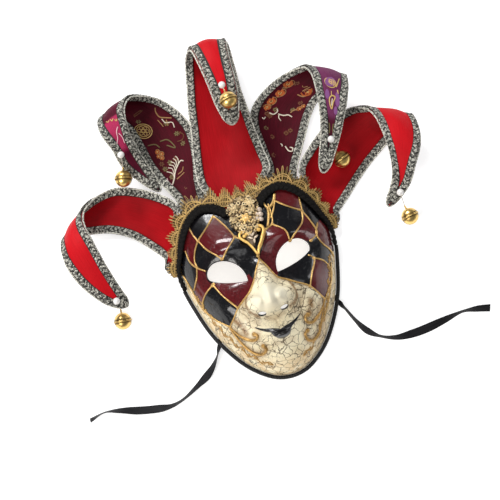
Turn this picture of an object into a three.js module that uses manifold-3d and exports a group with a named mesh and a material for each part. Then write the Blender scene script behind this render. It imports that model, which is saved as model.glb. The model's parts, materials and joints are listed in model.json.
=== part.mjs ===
// A carnival full-face mask with a collar of five curled bell points, lying face up on its rim.
// Millimetres, +Z up out of the face, +Y towards the forehead, +X to the right as the face is seen.
import * as THREE from 'three';
import { mergeVertices } from 'three/addons/utils/BufferGeometryUtils.js';
import Module from 'manifold-3d';

const wasm = await Module();
wasm.setup();

// Driving dimensions
const WALL = 2.3;
const GAP = 0.35;
const POLE_Y = -22;
const DOME_TOP = 61;
const CORD_RADIUS = 2.2;
const CORD_LIFT = 1.4;
const BRAID_HALF_WIDTH = 4.6;
const BRAID_HALF_HEIGHT = 2.3;
const LACE_THICKNESS = 1;
const LACE_BASE = 11;
const LACE_POINT = 7;
const LACE_SCALLOPS = 15;
const LACE_CREST = 1.4;
const CLOTH = 1.6;
const TRIM_WIDTH = 9;
const TRIM_WALL = 0.8;
const TRIM_GAP = 0.7;
const TRIM_LIP = 0.65;
const PEARL_RADIUS = 4;
const BELL_RADIUS = 10.5;
const BELL_WALL = 0.9;
const BELL_SLIT = 2.4;
const EYELET_RADIUS = 2.2;
const EYELET_WIRE = 0.75;
const THREAD_RADIUS = 0.5;
const RIBBON_WIDTH = 10;
const RIBBON_THICKNESS = 0.8;
const RIBBON_NOTCH = { along: 20, across: 14, height: 1.5 };

// The rim's right half from chin to notch, and where its stretches begin, as table rows
const RIM = [
  { x: 0, y: -106.5, z: 0 },
  { x: 15, y: -104, z: 0 },
  { x: 28.5, y: -96.5, z: 0 },
  { x: 45, y: -81.5, z: 0 },
  { x: 61.5, y: -57.5, z: 0 },
  { x: 73, y: -34, z: 0 },
  { x: 82.5, y: -3, z: 0 },
  { x: 87.5, y: 19, z: 1.5 },
  { x: 88.8, y: 33, z: 5 },
  { x: 87.5, y: 43, z: 9 },
  { x: 82.5, y: 55, z: 16 },
  { x: 72.5, y: 75, z: 28 },
  { x: 61, y: 88.5, z: 35 },
  { x: 47, y: 96, z: 38 },
  { x: 33.5, y: 93.5, z: 41 },
  { x: 23, y: 86, z: 44 },
  { x: 14, y: 74, z: 48 },
  { x: 0, y: 62, z: 53 },
];
const EAR_ROW = 8;
const LOBE_ROW = 14;
const BRIDGE = [
  { x: 17, y: 89.5, z: 41 },
  { x: 0, y: 87.5, z: 41 },
];

// Raised forms of the face: centre, spread and height of each, mirrored where `twin` is set
const RELIEF = [
  { x: 19, y: -33, sx: 10, sy: 9, h: 12, twin: true },
  { x: 39, y: 38, sx: 24, sy: 9, h: 5, twin: true },
  { x: 40, y: 13, sx: 22, sy: 13, h: -7, twin: true },
  { x: 52, y: -22, sx: 17, sy: 15, h: 6, twin: true },
  { x: 0, y: -62, sx: 24, sy: 13, h: 5, twin: false },
  { x: 0, y: -76, sx: 15, sy: 4.5, h: 4, twin: false },
  { x: 0, y: -92, sx: 20, sy: 10, h: 8, twin: false },
];
const NOSE = { top: 30, tip: -35, foot: -54, height: 33, bridgeWidth: 9, tipWidth: 17 };

// Cut openings of the face
const EYE = { innerX: 17, innerY: -1.5, slant: 21 };
const NOSTRIL = { x: 12.6, y: -44.5, length: 9, width: 4.6, slant: -18 };

// Each collar point: where its root lies on the collar line from right ear to left ear, its bell,
// and its cross sections from root to tip as the ends of each chord, edge a and edge b
const POINTS = [
  {
    name: 'red_point_center',
    cloth: 'satin',
    root: [0.64, 0.36],
    tuck: 0,
    bow: 7.2,
    pearl: { s: 0.48, t: 0.87, lift: 0, sewn: 'over' },
    bell: [20.8, 199.6, 69.5],
    rows: [
      { ax: -39, ay: 129, az: 26, bx: 44, by: 124, bz: 26 },
      { ax: -36, ay: 160, az: 21, bx: 43, by: 147, bz: 21 },
      { ax: -30, ay: 193, az: 17, bx: 41, by: 172, bz: 17 },
      { ax: -25, ay: 224, az: 12, bx: 40, by: 200, bz: 12 },
      { ax: -19, ay: 253, az: 8, bx: 39, by: 229, bz: 8 },
      { ax: -14, ay: 273, az: 13, bx: 40, by: 258, bz: 13 },
      { ax: -9, ay: 281, az: 28, bx: 40, by: 276, bz: 28 },
      { ax: -3, ay: 277, az: 45, bx: 38, by: 274, bz: 45 },
      { ax: 1, ay: 254, az: 55, bx: 36, by: 249, bz: 55 },
      { ax: 4, ay: 228, az: 57, bx: 35, by: 222, bz: 57 },
      { ax: 6, ay: 203, az: 55, bx: 31, by: 197, bz: 55 },
      { ax: 11, ay: 178, az: 52, bx: 23, by: 175, bz: 52 },
    ],
  },
  {
    name: 'red_point_left',
    cloth: 'satin',
    root: [0.747, 0.962],
    tuck: 0,
    bow: 5,
    pearl: { s: 0.6, t: 0.95, lift: 1.2, sewn: 'under' },
    bell: [-166, 5.5, 10.4],
    rows: [
      { ax: -71, ay: 116, az: 22, bx: -101, by: 61, bz: 4.5 },
      { ax: -87, ay: 133, az: 17, bx: -113, by: 78, bz: 4 },
      { ax: -108, ay: 147, az: 13, bx: -131, by: 97, bz: 4 },
      { ax: -132, ay: 156, az: 12, bx: -154, by: 110, bz: 5 },
      { ax: -154, ay: 152, az: 18, bx: -178, by: 114, bz: 11 },
      { ax: -164, ay: 145, az: 24, bx: -193, by: 114, bz: 19 },
      { ax: -172, ay: 136, az: 32, bx: -203, by: 109, bz: 29 },
      { ax: -175, ay: 120, az: 44, bx: -206, by: 94, bz: 43 },
      { ax: -171, ay: 98, az: 50, bx: -205, by: 74, bz: 50 },
      { ax: -165, ay: 69, az: 45, bx: -195, by: 49, bz: 45 },
      { ax: -158, ay: 42, az: 34, bx: -178, by: 27, bz: 33 },
      { ax: -151, ay: 21, az: 21, bx: -160, by: 16, bz: 19 },
    ],
  },
  {
    name: 'red_point_right',
    cloth: 'satin',
    root: [0.253, 0.038],
    tuck: 0,
    bow: 5,
    pearl: { s: 0.72, t: 0.95, lift: 1.2, sewn: 'over' },
    bell: [179.5, 24.5, 10.4],
    rows: [
      { ax: 78, ay: 117, az: 22, bx: 104, by: 54, bz: 4.5 },
      { ax: 94, ay: 134, az: 17, bx: 121, by: 69, bz: 4 },
      { ax: 113, ay: 150, az: 13, bx: 138, by: 84, bz: 4 },
      { ax: 133, ay: 162, az: 12, bx: 157, by: 99, bz: 5 },
      { ax: 153, ay: 165, az: 16, bx: 184, by: 116, bz: 10 },
      { ax: 162, ay: 161, az: 21, bx: 201, by: 125, bz: 18 },
      { ax: 170, ay: 153, az: 30, bx: 215, by: 130, bz: 29 },
      { ax: 174, ay: 139, az: 43, bx: 216, by: 110, bz: 42 },
      { ax: 176, ay: 118, az: 49, bx: 210, by: 90, bz: 48 },
      { ax: 177, ay: 94, az: 44, bx: 199, by: 72, bz: 44 },
      { ax: 172, ay: 68, az: 30, bx: 187, by: 55, bz: 29 },
      { ax: 156, ay: 45, az: 12, bx: 164, by: 40, bz: 10 },
    ],
  },
  {
    name: 'brocade_point_left',
    cloth: 'brocade',
    root: [0.652, 0.73],
    tuck: 7.4,
    bow: 5,
    pearl: { s: 0.78, t: 0.884, lift: 1.6, sewn: 'over' },
    bell: [-119.4, 159.7, 29.3],
    rows: [
      { ax: -36, ay: 137, az: 16, bx: -69, by: 121, bz: 15 },
      { ax: -31, ay: 160, az: 12, bx: -80, by: 145, bz: 10 },
      { ax: -28, ay: 184, az: 8, bx: -90, by: 170.5, bz: 7 },
      { ax: -30, ay: 207, az: 6.5, bx: -95, by: 195, bz: 6.5 },
      { ax: -41, ay: 229, az: 7, bx: -101, by: 219, bz: 8 },
      { ax: -58, ay: 246, az: 12, bx: -111, by: 233, bz: 14 },
      { ax: -82, ay: 251, az: 28, bx: -124, by: 235, bz: 28 },
      { ax: -93, ay: 239, az: 44, bx: -129, by: 223, bz: 43 },
      { ax: -97, ay: 222, az: 50, bx: -127, by: 208, bz: 49 },
      { ax: -97, ay: 200, az: 41, bx: -121, by: 192, bz: 40 },
      { ax: -91, ay: 176.5, az: 26, bx: -115, by: 171, bz: 23 },
      { ax: -84, ay: 150, az: 15, bx: -95, by: 147.5, bz: 14 },
    ],
  },
  {
    name: 'brocade_point_right',
    cloth: 'brocade',
    root: [0.348, 0.27],
    tuck: 7.4,
    bow: 5,
    pearl: { s: 0.6, t: 0.932, lift: 1.6, sewn: 'under' },
    bell: [126, 110.5, 15],
    rows: [
      { ax: 41, ay: 128, az: 16, bx: 74, by: 117, bz: 15 },
      { ax: 40, ay: 155, az: 12, bx: 85, by: 136, bz: 10 },
      { ax: 39, ay: 181, az: 8, bx: 96, by: 155, bz: 7 },
      { ax: 45, ay: 201, az: 6.5, bx: 107, by: 173, bz: 6.5 },
      { ax: 63, ay: 217, az: 7, bx: 120, by: 187, bz: 8 },
      { ax: 88, ay: 227, az: 12, bx: 139, by: 195, bz: 14 },
      { ax: 114, ay: 225, az: 28, bx: 157, by: 198, bz: 28 },
      { ax: 120, ay: 210, az: 44, bx: 156, by: 185, bz: 43 },
      { ax: 120, ay: 192, az: 50, bx: 150, by: 169, bz: 50 },
      { ax: 117, ay: 166, az: 47, bx: 141, by: 151, bz: 47 },
      { ax: 110, ay: 139, az: 36, bx: 128, by: 129, bz: 36 },
      { ax: 95, ay: 103, az: 20, bx: 106, by: 98, bz: 19 },
    ],
  },
];
const ROOT_REACH = [-1.5, 6, 15];
const ROOT_DROP = [1.7, 3.9, 4.5];
const ROOT_SLOPE = 0.32;
const POINT_STEPS = 19;

// Tie ribbons: a row for each place on the floor route, with the ribbon's roll from lying flat
const RIBBONS = [
  {
    name: 'ribbon_left',
    notch: { x: -67, y: -47, turn: 27 },
    rows: [
      { x: -73, y: 4, roll: 0 },
      { x: -71, y: -12, roll: 0 },
      { x: -64, y: -28, roll: 0 },
      { x: -66, y: -44, roll: 0 },
      { x: -74, y: -61, roll: 0 },
      { x: -86, y: -76, roll: 10 },
      { x: -104, y: -88, roll: 35 },
      { x: -126, y: -99, roll: 75 },
      { x: -141, y: -102, roll: 60 },
      { x: -157, y: -100, roll: 20 },
      { x: -176, y: -96, roll: 0 },
      { x: -197, y: -90, roll: 35 },
      { x: -214, y: -87, roll: 70 },
      { x: -232, y: -91, roll: 55 },
    ],
  },
  {
    name: 'ribbon_right',
    notch: { x: 72, y: -37, turn: -23 },
    rows: [
      { x: 73, y: 6, roll: 0 },
      { x: 72, y: -8, roll: 0 },
      { x: 67, y: -22, roll: 0 },
      { x: 71, y: -38, roll: 0 },
      { x: 78, y: -54, roll: 0 },
      { x: 85, y: -70, roll: 0 },
      { x: 94, y: -85, roll: 15 },
      { x: 107, y: -96, roll: 65 },
      { x: 123, y: -102, roll: 60 },
      { x: 141, y: -103, roll: 10 },
      { x: 158, y: -102, roll: 0 },
      { x: 180, y: -99, roll: 35 },
      { x: 203, y: -96, roll: 75 },
      { x: 220, y: -98, roll: 45 },
      { x: 233, y: -101, roll: 30 },
    ],
  },
];

const CARTOUCHE = { top: 95, tip: 31, slope: -0.27, thickness: 3.4, bevel: 0.8 };
const CARTOUCHE_EDGE = [
  { y: 95, half: 7 },
  { y: 90, half: 15 },
  { y: 82, half: 19 },
  { y: 72, half: 17 },
  { y: 62, half: 17.5 },
  { y: 52, half: 11 },
  { y: 42, half: 6 },
  { y: 31, half: 1.5 },
];
const ROSETTES = [
  { x: -10, y: 83, radius: 7.5 },
  { x: 10, y: 83, radius: 7.5 },
  { x: 0, y: 68, radius: 8.5 },
  { x: 0, y: 50, radius: 6 },
];

const MATERIALS = {
  shell: new THREE.MeshStandardMaterial({ color: 0xd9cfae, roughness: 0.45 }),
  black: new THREE.MeshStandardMaterial({ color: 0x17161a, roughness: 0.8 }),
  gold: new THREE.MeshStandardMaterial({ color: 0xb08d48, roughness: 0.45, metalness: 0.8 }),
  lace: new THREE.MeshStandardMaterial({ color: 0xa98748, roughness: 0.6, metalness: 0.4 }),
  satin: new THREE.MeshStandardMaterial({ color: 0xa80f16, roughness: 0.55 }),
  brocade: new THREE.MeshStandardMaterial({ color: 0x4a0e1c, roughness: 0.6 }),
  gimp: new THREE.MeshStandardMaterial({ color: 0x8c8a80, roughness: 0.6 }),
  pearl: new THREE.MeshStandardMaterial({ color: 0xf1ece2, roughness: 0.25 }),
  bell: new THREE.MeshStandardMaterial({ color: 0xd3ad52, roughness: 0.2, metalness: 1 }),
  ribbon: new THREE.MeshStandardMaterial({ color: 0x26262a, roughness: 0.5 }),
};

const radians = THREE.MathUtils.degToRad;
const mix = THREE.MathUtils.lerp;
const smooth = THREE.MathUtils.smoothstep;
const vector = (row) => new THREE.Vector3(row.x, row.y, row.z);
const mirrored = (row) => new THREE.Vector3(-row.x, row.y, row.z);
const along = (from, to, s) => from.clone().lerp(to, s);
const offset = (point, direction, distance) => point.clone().addScaledVector(direction, distance);

// Turns a closed list of faces outward by the sign of its volume
function solid(positions, faces) {
  const corner = (index) => new THREE.Vector3().fromArray(positions, index * 3);
  let volume = 0;
  for (const [a, b, c] of faces) volume += corner(a).dot(corner(b).cross(corner(c)));
  const outward = volume < 0 ? faces.map(([a, b, c]) => [a, c, b]) : faces;
  const geometry = new THREE.BufferGeometry();
  geometry.setAttribute('position', new THREE.Float32BufferAttribute(positions, 3));
  geometry.setIndex(outward.flat());
  return geometry;
}

// A closed solid through rings of equal length, each ring's halves running out and back
function loft(rings) {
  const count = rings[0].length;
  const faces = [];
  rings.slice(1).forEach((ring, row) => {
    for (let j = 0; j < count; j += 1) {
      const next = (j + 1) % count;
      const low = row * count;
      const high = low + count;
      faces.push([low + j, low + next, high + next], [low + j, high + next, high + j]);
    }
  });
  const last = (rings.length - 1) * count;
  for (let j = 0; j < count / 2 - 1; j += 1) {
    const back = count - 1 - j;
    faces.push([j, back, back - 1], [j, back - 1, j + 1]);
    faces.push([last + j, last + j + 1, last + back - 1], [last + j, last + back - 1, last + back]);
  }
  return solid(rings.flat().flatMap((p) => p.toArray()), faces);
}

// A ring of points on an ellipse in the plane of two directions
function oval(centre, across, up, halfWidth, halfHeight, sides) {
  return Array.from({ length: sides }, (_, k) => {
    const angle = (2 * Math.PI * (k + 0.5)) / sides;
    return offset(offset(centre, across, halfWidth * Math.cos(angle)), up, halfHeight * Math.sin(angle));
  });
}

function toManifold(geometry) {
  const bare = geometry.clone();
  bare.deleteAttribute('normal');
  bare.deleteAttribute('uv');
  const merged = mergeVertices(bare, 1e-4);
  return new wasm.Manifold(
    new wasm.Mesh({
      numProp: 3,
      vertProperties: new Float32Array(merged.attributes.position.array),
      triVerts: new Uint32Array(merged.index.array),
    }),
  );
}

function fromManifold(body) {
  const { vertProperties, triVerts } = body.getMesh();
  const geometry = new THREE.BufferGeometry();
  geometry.setAttribute('position', new THREE.BufferAttribute(vertProperties, 3));
  geometry.setIndex(new THREE.BufferAttribute(triVerts, 1));
  return geometry;
}

const mask = new THREE.Group();
const extent = new THREE.Box3();

function place(name, geometry, material) {
  const mesh = new THREE.Mesh(geometry, MATERIALS[material]);
  mesh.name = name;
  mask.add(mesh);
  if (material !== 'ribbon') extent.expandByObject(mesh);
}

// Face shell: a dome over the heart-shaped rim, with the raised features added
const rimCurve = new THREE.CatmullRomCurve3(
  [...RIM.map(vector), ...RIM.slice(1, -1).reverse().map(mirrored)],
  true,
);
const pole = new THREE.Vector3(0, POLE_Y, 0);
const RIM_TOP = 38;

function nose(x, y) {
  const rise = smooth(-y, -NOSE.top, -NOSE.tip);
  const fall = 1 - smooth(-y, -NOSE.tip + 2, -NOSE.foot);
  const width = mix(NOSE.bridgeWidth, NOSE.tipWidth, rise);
  return NOSE.height * rise ** 1.3 * fall * Math.exp(-((x / width) ** 2));
}

function relief(x, y) {
  const bump = (form, side) =>
    form.h * Math.exp(-(((x - side * form.x) / form.sx) ** 2) - ((y - form.y) / form.sy) ** 2);
  const forms = RELIEF.map((form) => bump(form, 1) + (form.twin ? bump(form, -1) : 0));
  return nose(x, y) + forms.reduce((sum, value) => sum + value, 0);
}

// A point of the dome between its pole and a rim point, `inset` inside the outer skin
function domePoint(rim, reach, inset) {
  const spoke = rim.clone().sub(pole).setZ(0);
  const radius = spoke.length() - inset;
  const place = pole.clone().addScaledVector(spoke.normalize(), radius * reach);
  const gentle = smooth(rim.z, 0, RIM_TOP);
  const crown = (1 - reach ** mix(2.4, 2, gentle)) ** mix(0.55, 1, gentle);
  const features = relief(place.x, place.y) * (1 - reach ** 6);
  place.z = rim.z + (DOME_TOP - inset - rim.z) * crown + features;
  return place;
}

const SHELL_SPOKES = 56;
const OUTER_REACH = [1, 0.985, 0.95, 0.9, 0.83, 0.75, 0.67, 0.58, 0.49, 0.4, 0.3, 0.2, 0.1];
const INNER_REACH = [1, 0.96, 0.87, 0.74, 0.58, 0.42, 0.26, 0.1];

function shellBlank() {
  const spokes = Array.from({ length: SHELL_SPOKES }, (_, k) => rimCurve.getPointAt(k / SHELL_SPOKES));
  const outer = OUTER_REACH.map((reach) => spokes.map((rim) => domePoint(rim, reach, 0)));
  const inner = INNER_REACH.map((reach) => spokes.map((rim) => domePoint(rim, reach, WALL)));
  const rings = [...outer.reverse(), ...inner];
  const points = [...rings.flat(), domePoint(spokes[0], 0, 0), domePoint(spokes[0], 0, WALL)];
  const faces = [];
  rings.slice(1).forEach((_, row) => {
    for (let k = 0; k < SHELL_SPOKES; k += 1) {
      const next = (k + 1) % SHELL_SPOKES;
      const low = row * SHELL_SPOKES;
      const high = low + SHELL_SPOKES;
      faces.push([low + k, high + k, high + next], [low + k, high + next, low + next]);
    }
  });
  const top = points.length - 2;
  const under = points.length - 1;
  const last = (rings.length - 1) * SHELL_SPOKES;
  for (let k = 0; k < SHELL_SPOKES; k += 1) {
    const next = (k + 1) % SHELL_SPOKES;
    faces.push([top, k, next], [under, last + next, last + k]);
  }
  return solid(points.flatMap((p) => p.toArray()), faces);
}

const CUTTER_HEIGHT = 140;

// The eye's outline from its inner corner along the slanted lower lid and back over the upper lid
function eyeCutter(side) {
  const outline = new THREE.Shape();
  outline.moveTo(0, 0);
  outline.bezierCurveTo(13, -3.5, 33, -4, 44, 0);
  outline.bezierCurveTo(49, 3, 49, 12, 42, 17);
  outline.bezierCurveTo(30, 25, 7, 22, 0, 0);
  const cutter = new THREE.ExtrudeGeometry(outline, { depth: CUTTER_HEIGHT, curveSegments: 7, bevelEnabled: false });
  cutter.rotateZ(radians(EYE.slant));
  cutter.translate(EYE.innerX, EYE.innerY, 0);
  return mirrorTo(side, toManifold(cutter));
}

function nostrilCutter(side) {
  const cutter = new THREE.CylinderGeometry(1, 1, CUTTER_HEIGHT, 10);
  cutter.rotateX(Math.PI / 2);
  cutter.scale(NOSTRIL.length / 2, NOSTRIL.width / 2, 1);
  cutter.rotateZ(radians(NOSTRIL.slant));
  cutter.translate(NOSTRIL.x, NOSTRIL.y, CUTTER_HEIGHT / 2);
  return mirrorTo(side, toManifold(cutter));
}

function mirrorTo(side, body) {
  return side > 0 ? body : body.mirror([1, 0, 0]);
}

function ribbonNotch({ x, y, turn }) {
  const { along: length, across, height } = RIBBON_NOTCH;
  const cutter = new THREE.BoxGeometry(across, length, 2 * height);
  cutter.rotateZ(radians(turn));
  cutter.translate(x, y, 0);
  return toManifold(cutter);
}

let shell = toManifold(shellBlank());
for (const side of [1, -1]) {
  shell = shell.subtract(eyeCutter(side)).subtract(nostrilCutter(side));
}
for (const ribbon of RIBBONS) shell = shell.subtract(ribbonNotch(ribbon.notch));
place('face_shell', fromManifold(shell), 'shell');

// Edge cord: a smooth cord laid against the rim from ear to ear round the chin
const CORD_STEPS = 24;
const rimLength = rimCurve.getLength();
const rimFraction = (row) => {
  let nearest = 0;
  for (let k = 0; k <= 400; k += 1) {
    const apart = rimCurve.getPointAt(k / 800).distanceTo(vector(row));
    if (apart < rimCurve.getPointAt(nearest).distanceTo(vector(row))) nearest = k / 800;
  }
  return nearest;
};
const earFraction = rimFraction(RIM[EAR_ROW - 1]);
const lobeEndFraction = rimFraction(RIM[LOBE_ROW + 1]);

function rimOutward(fraction) {
  const tangent = rimCurve.getTangentAt(fraction);
  return new THREE.Vector3(tangent.y, -tangent.x, 0).normalize();
}

const cordRings = Array.from({ length: CORD_STEPS + 1 }, (_, k) => {
  const fraction = (1 + mix(-earFraction, earFraction, k / CORD_STEPS)) % 1;
  const outward = rimOutward(fraction);
  const centre = offset(rimCurve.getPointAt(fraction), outward, CORD_RADIUS + GAP);
  centre.z += CORD_RADIUS + CORD_LIFT;
  return oval(centre, outward, new THREE.Vector3(0, 0, 1), CORD_RADIUS, CORD_RADIUS, 8);
});
place('edge_cord', loft(cordRings), 'black');

// Forehead braids: a flat oval braid over the edge of each lobe
const BRAID_STEPS = 13;
const BRAID_INSET = 1.7;
const BRAID_LIFT = 0.5;

function braidRing(fraction, side) {
  const rim = rimCurve.getPointAt(fraction);
  const radius = Math.hypot(rim.x, rim.y - POLE_Y);
  const near = domePoint(rim, 1 - BRAID_INSET / radius, 0);
  const inside = domePoint(rim, 1 - (BRAID_INSET + BRAID_HALF_WIDTH) / radius, 0);
  const across = rim.clone().sub(inside).normalize();
  const up = across.clone().cross(rimCurve.getTangentAt(fraction)).normalize();
  if (up.z < 0) up.negate();
  const centre = offset(near, up, BRAID_HALF_HEIGHT + BRAID_LIFT);
  const ring = oval(centre, across, up, BRAID_HALF_WIDTH, BRAID_HALF_HEIGHT, 8);
  return side > 0 ? ring : ring.map((p) => new THREE.Vector3(-p.x, p.y, p.z));
}

const braidStart = earFraction + 2 * GAP / rimLength;
for (const [side, word] of [[1, 'right'], [-1, 'left']]) {
  const rings = Array.from({ length: BRAID_STEPS + 1 }, (_, k) =>
    braidRing(mix(braidStart, lobeEndFraction, k / BRAID_STEPS), side),
  );
  place(`forehead_braid_${word}`, loft(rings), 'black');
}

// Collar line: the rim from ear to ear, carried straight over the notch between the lobes
const collarHalf = [...RIM.slice(EAR_ROW, LOBE_ROW + 1), ...BRIDGE];
const collar = new THREE.CatmullRomCurve3([
  ...collarHalf.map(vector),
  ...collarHalf.slice(0, -1).reverse().map(mirrored),
]);

// A place on the sloping skirt that spreads outward from the collar line
function skirt(fraction, reach) {
  const tangent = collar.getTangentAt(fraction);
  const outward = new THREE.Vector3(tangent.y, -tangent.x, 0).normalize();
  const slope = ROOT_SLOPE * smooth(Math.min(fraction, 1 - fraction), 0, 0.2);
  const spot = offset(collar.getPointAt(fraction), outward, reach);
  spot.z -= slope * reach;
  return spot;
}

// Gold lace: a thin band on the skirt with a pointed scalloped edge, tallest over the forehead
const LACE_STEPS = LACE_SCALLOPS * 4;
const LACE_ENDS = [0.012, 0.988];
const LACE_INNER = 0.6;
const laceRings = Array.from({ length: LACE_STEPS + 1 }, (_, k) => {
  const fraction = mix(LACE_ENDS[0], LACE_ENDS[1], k / LACE_STEPS);
  const wave = Math.abs(((k / 4) % 1) * 2 - 1);
  const crest = mix(1, LACE_CREST, smooth(Math.min(fraction, 1 - fraction), 0.1, 0.35));
  const reach = (LACE_BASE + LACE_POINT * (1 - wave)) * crest;
  const half = new THREE.Vector3(0, 0, LACE_THICKNESS / 2);
  const inner = skirt(fraction, LACE_INNER);
  const outer = skirt(fraction, reach);
  return [inner.clone().add(half), outer.clone().add(half), outer.clone().sub(half), inner.clone().sub(half)];
});
place('gold_lace', loft(laceRings), 'lace');

// Cartouche: a cast plate that bridges the notch, with raised rosettes
function domeHeight(x, y) {
  const spoke = new THREE.Vector3(x, y - POLE_Y, 0);
  const bearing = Math.atan2(spoke.x, spoke.y);
  let best = rimCurve.getPointAt(0);
  for (let k = 0; k < 360; k += 1) {
    const rim = rimCurve.getPointAt(k / 360);
    const miss = Math.abs(Math.atan2(rim.x, rim.y - POLE_Y) - bearing);
    if (miss < Math.abs(Math.atan2(best.x, best.y - POLE_Y) - bearing)) best = rim;
  }
  const reach = spoke.length() / Math.hypot(best.x, best.y - POLE_Y);
  return reach < 1 ? domePoint(best, reach, 0).z : -Infinity;
}

function cartouche() {
  const ring = (inset, z) => {
    const right = CARTOUCHE_EDGE.map(({ y, half }) => new THREE.Vector3(half - inset * Math.min(1, half / 4), y, z));
    const left = right.map((p) => new THREE.Vector3(-p.x, p.y, z)).reverse();
    return [...right, ...left];
  };
  const shoulder = CARTOUCHE.thickness - CARTOUCHE.bevel;
  let body = toManifold(loft([ring(0, 0), ring(0, shoulder), ring(CARTOUCHE.bevel, CARTOUCHE.thickness)]));
  for (const { x, y, radius } of ROSETTES) {
    const boss = new THREE.SphereGeometry(radius, 10, 6);
    boss.rotateX(Math.PI / 2);
    boss.scale(1, 1, 0.55);
    boss.translate(x, y, CARTOUCHE.thickness);
    body = body.add(toManifold(boss.translate(0, 0, radius * 0.1)));
  }
  const geometry = fromManifold(body);
  const lean = Math.atan(CARTOUCHE.slope);
  const middle = (CARTOUCHE.top + CARTOUCHE.tip) / 2;
  let seat = -Infinity;
  CARTOUCHE_EDGE.slice(1).forEach((row, index) => {
    for (const step of [0, 0.25, 0.5, 0.75, 1]) {
      const y = mix(CARTOUCHE_EDGE[index].y, row.y, step);
      const half = mix(CARTOUCHE_EDGE[index].half, row.half, step);
      for (const x of [0, 0.25, 0.5, 0.75, 1]) {
        seat = Math.max(seat, domeHeight(x * half, y) - CARTOUCHE.slope * (y - middle));
      }
    }
  });
  geometry.translate(0, -middle, 0);
  geometry.rotateX(lean);
  geometry.translate(0, middle, seat + GAP);
  return geometry;
}
place('cartouche', cartouche(), 'gold');

// Collar points: each sheet's columns run from root to tip, and its braid wraps both long edges
function pointGrid(point) {
  const columns = [[], [], [], [], []];
  const shares = (width) => {
    const edge = Math.min(TRIM_WIDTH / width, 0.44);
    return [0, edge, 0.5, 1 - edge, 1];
  };
  const [from, to] = point.root;
  const rootWidth = skirt(from, 0).distanceTo(skirt(to, 0));
  ROOT_REACH.forEach((reach, row) => {
    shares(rootWidth).forEach((s, column) => {
      const spot = skirt(mix(from, to, s), reach);
      spot.z -= ROOT_DROP[row] + point.tuck * smooth(reach, 0, ROOT_REACH[2]);
      columns[column].push(spot);
    });
  });
  point.rows.forEach((row) => {
    const a = new THREE.Vector3(row.ax, row.ay, row.az);
    const b = new THREE.Vector3(row.bx, row.by, row.bz);
    shares(a.distanceTo(b)).forEach((s, column) => columns[column].push(along(a, b, s)));
  });
  const curves = columns.map((column) => new THREE.CatmullRomCurve3(column, false, 'catmullrom', 0.5));
  return (t) => {
    const spots = curves.map((curve) => curve.getPoint(t));
    const across = spots[4].clone().sub(spots[0]);
    const width = across.length();
    const front = across.clone().cross(curves[2].getTangent(t)).normalize();
    if (point.root[0] < point.root[1]) front.negate();
    const bow = point.bow * smooth(t, 0.1, 0.3) * (1 - smooth(t, 0.75, 1));
    const bowed = (spot) => {
      const s = Math.min(spot.distanceTo(spots[0]) / width, 1);
      return offset(spot, front, -bow * 4 * s * (1 - s));
    };
    const surface = (s) => bowed(along(spots[0], spots[4], s));
    return { spots: spots.map(bowed), front, across: across.normalize(), surface };
  };
}

function clothRing({ spots, front }) {
  const face = spots.map((spot) => offset(spot, front, CLOTH / 2));
  const back = spots.map((spot) => offset(spot, front, -CLOTH / 2)).reverse();
  return [...face, ...back];
}

// The braid's channel over one edge, listed so that its inner faces follow the cloth's own facets
function trimRing({ spots, front, across }, edge) {
  const [rim, inner] = edge === 'a' ? [spots[0], spots[1]] : [spots[4], spots[3]];
  const outward = edge === 'a' ? -1 : 1;
  const near = CLOTH / 2 + TRIM_GAP;
  const far = near + TRIM_WALL;
  const lip = offset(rim, across, outward * TRIM_LIP);
  const edgeOut = offset(rim, across, outward * (TRIM_LIP + TRIM_WALL));
  const channel = [
    offset(inner, front, far),
    offset(edgeOut, front, far),
    offset(edgeOut, front, -far),
    offset(inner, front, -far),
    offset(inner, front, -near),
    offset(lip, front, -near),
    offset(lip, front, near),
    offset(inner, front, near),
  ];
  return edge === 'a' ? channel : channel.reverse();
}

// A jingle bell with its eyelet along +Z, hollow, slit across its lower half
function bellGeometry() {
  const skinRadius = BELL_RADIUS - BELL_WALL;
  const profile = [-90, -48, -11, 0, 11, 48, 90].map((angle) => {
    const swell = angle === 0 ? BELL_WALL : 0;
    const radius = Math.abs(angle) === 90 ? 0 : (skinRadius + swell) * Math.cos(radians(angle));
    return new THREE.Vector2(radius, skinRadius * Math.sin(radians(angle)));
  });
  const skin = new THREE.LatheGeometry(profile, 10);
  skin.rotateX(Math.PI / 2);
  const hollow = new THREE.SphereGeometry(BELL_RADIUS - 3 * BELL_WALL, 6, 4);
  const slit = new THREE.BoxGeometry(BELL_SLIT, 3 * BELL_RADIUS, BELL_RADIUS);
  slit.translate(0, 0, -0.5 * BELL_RADIUS - 3);
  const eyelet = new THREE.TorusGeometry(EYELET_RADIUS, EYELET_WIRE, 4, 6);
  eyelet.rotateX(Math.PI / 2);
  eyelet.translate(0, 0, skinRadius + EYELET_RADIUS - EYELET_WIRE);
  const body = toManifold(skin).subtract(toManifold(hollow)).subtract(toManifold(slit));
  return fromManifold(body.add(toManifold(eyelet)));
}

const bellShape = bellGeometry();
const BELL_REACH = BELL_RADIUS - BELL_WALL + 2 * EYELET_RADIUS;
const BELL_LEAN = 0.12;
const THREAD_RINGS = 2;

function thread(from, to, clear) {
  const line = to.clone().sub(from).normalize();
  const side = new THREE.Vector3(0, 0, 1).cross(line).normalize();
  const up = line.clone().cross(side);
  const start = offset(from, line, clear);
  const end = offset(to, line, -GAP);
  const rings = Array.from({ length: THREAD_RINGS }, (_, k) =>
    oval(along(start, end, k / (THREAD_RINGS - 1)), side, up, THREAD_RADIUS, THREAD_RADIUS, 6),
  );
  return loft(rings);
}

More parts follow.
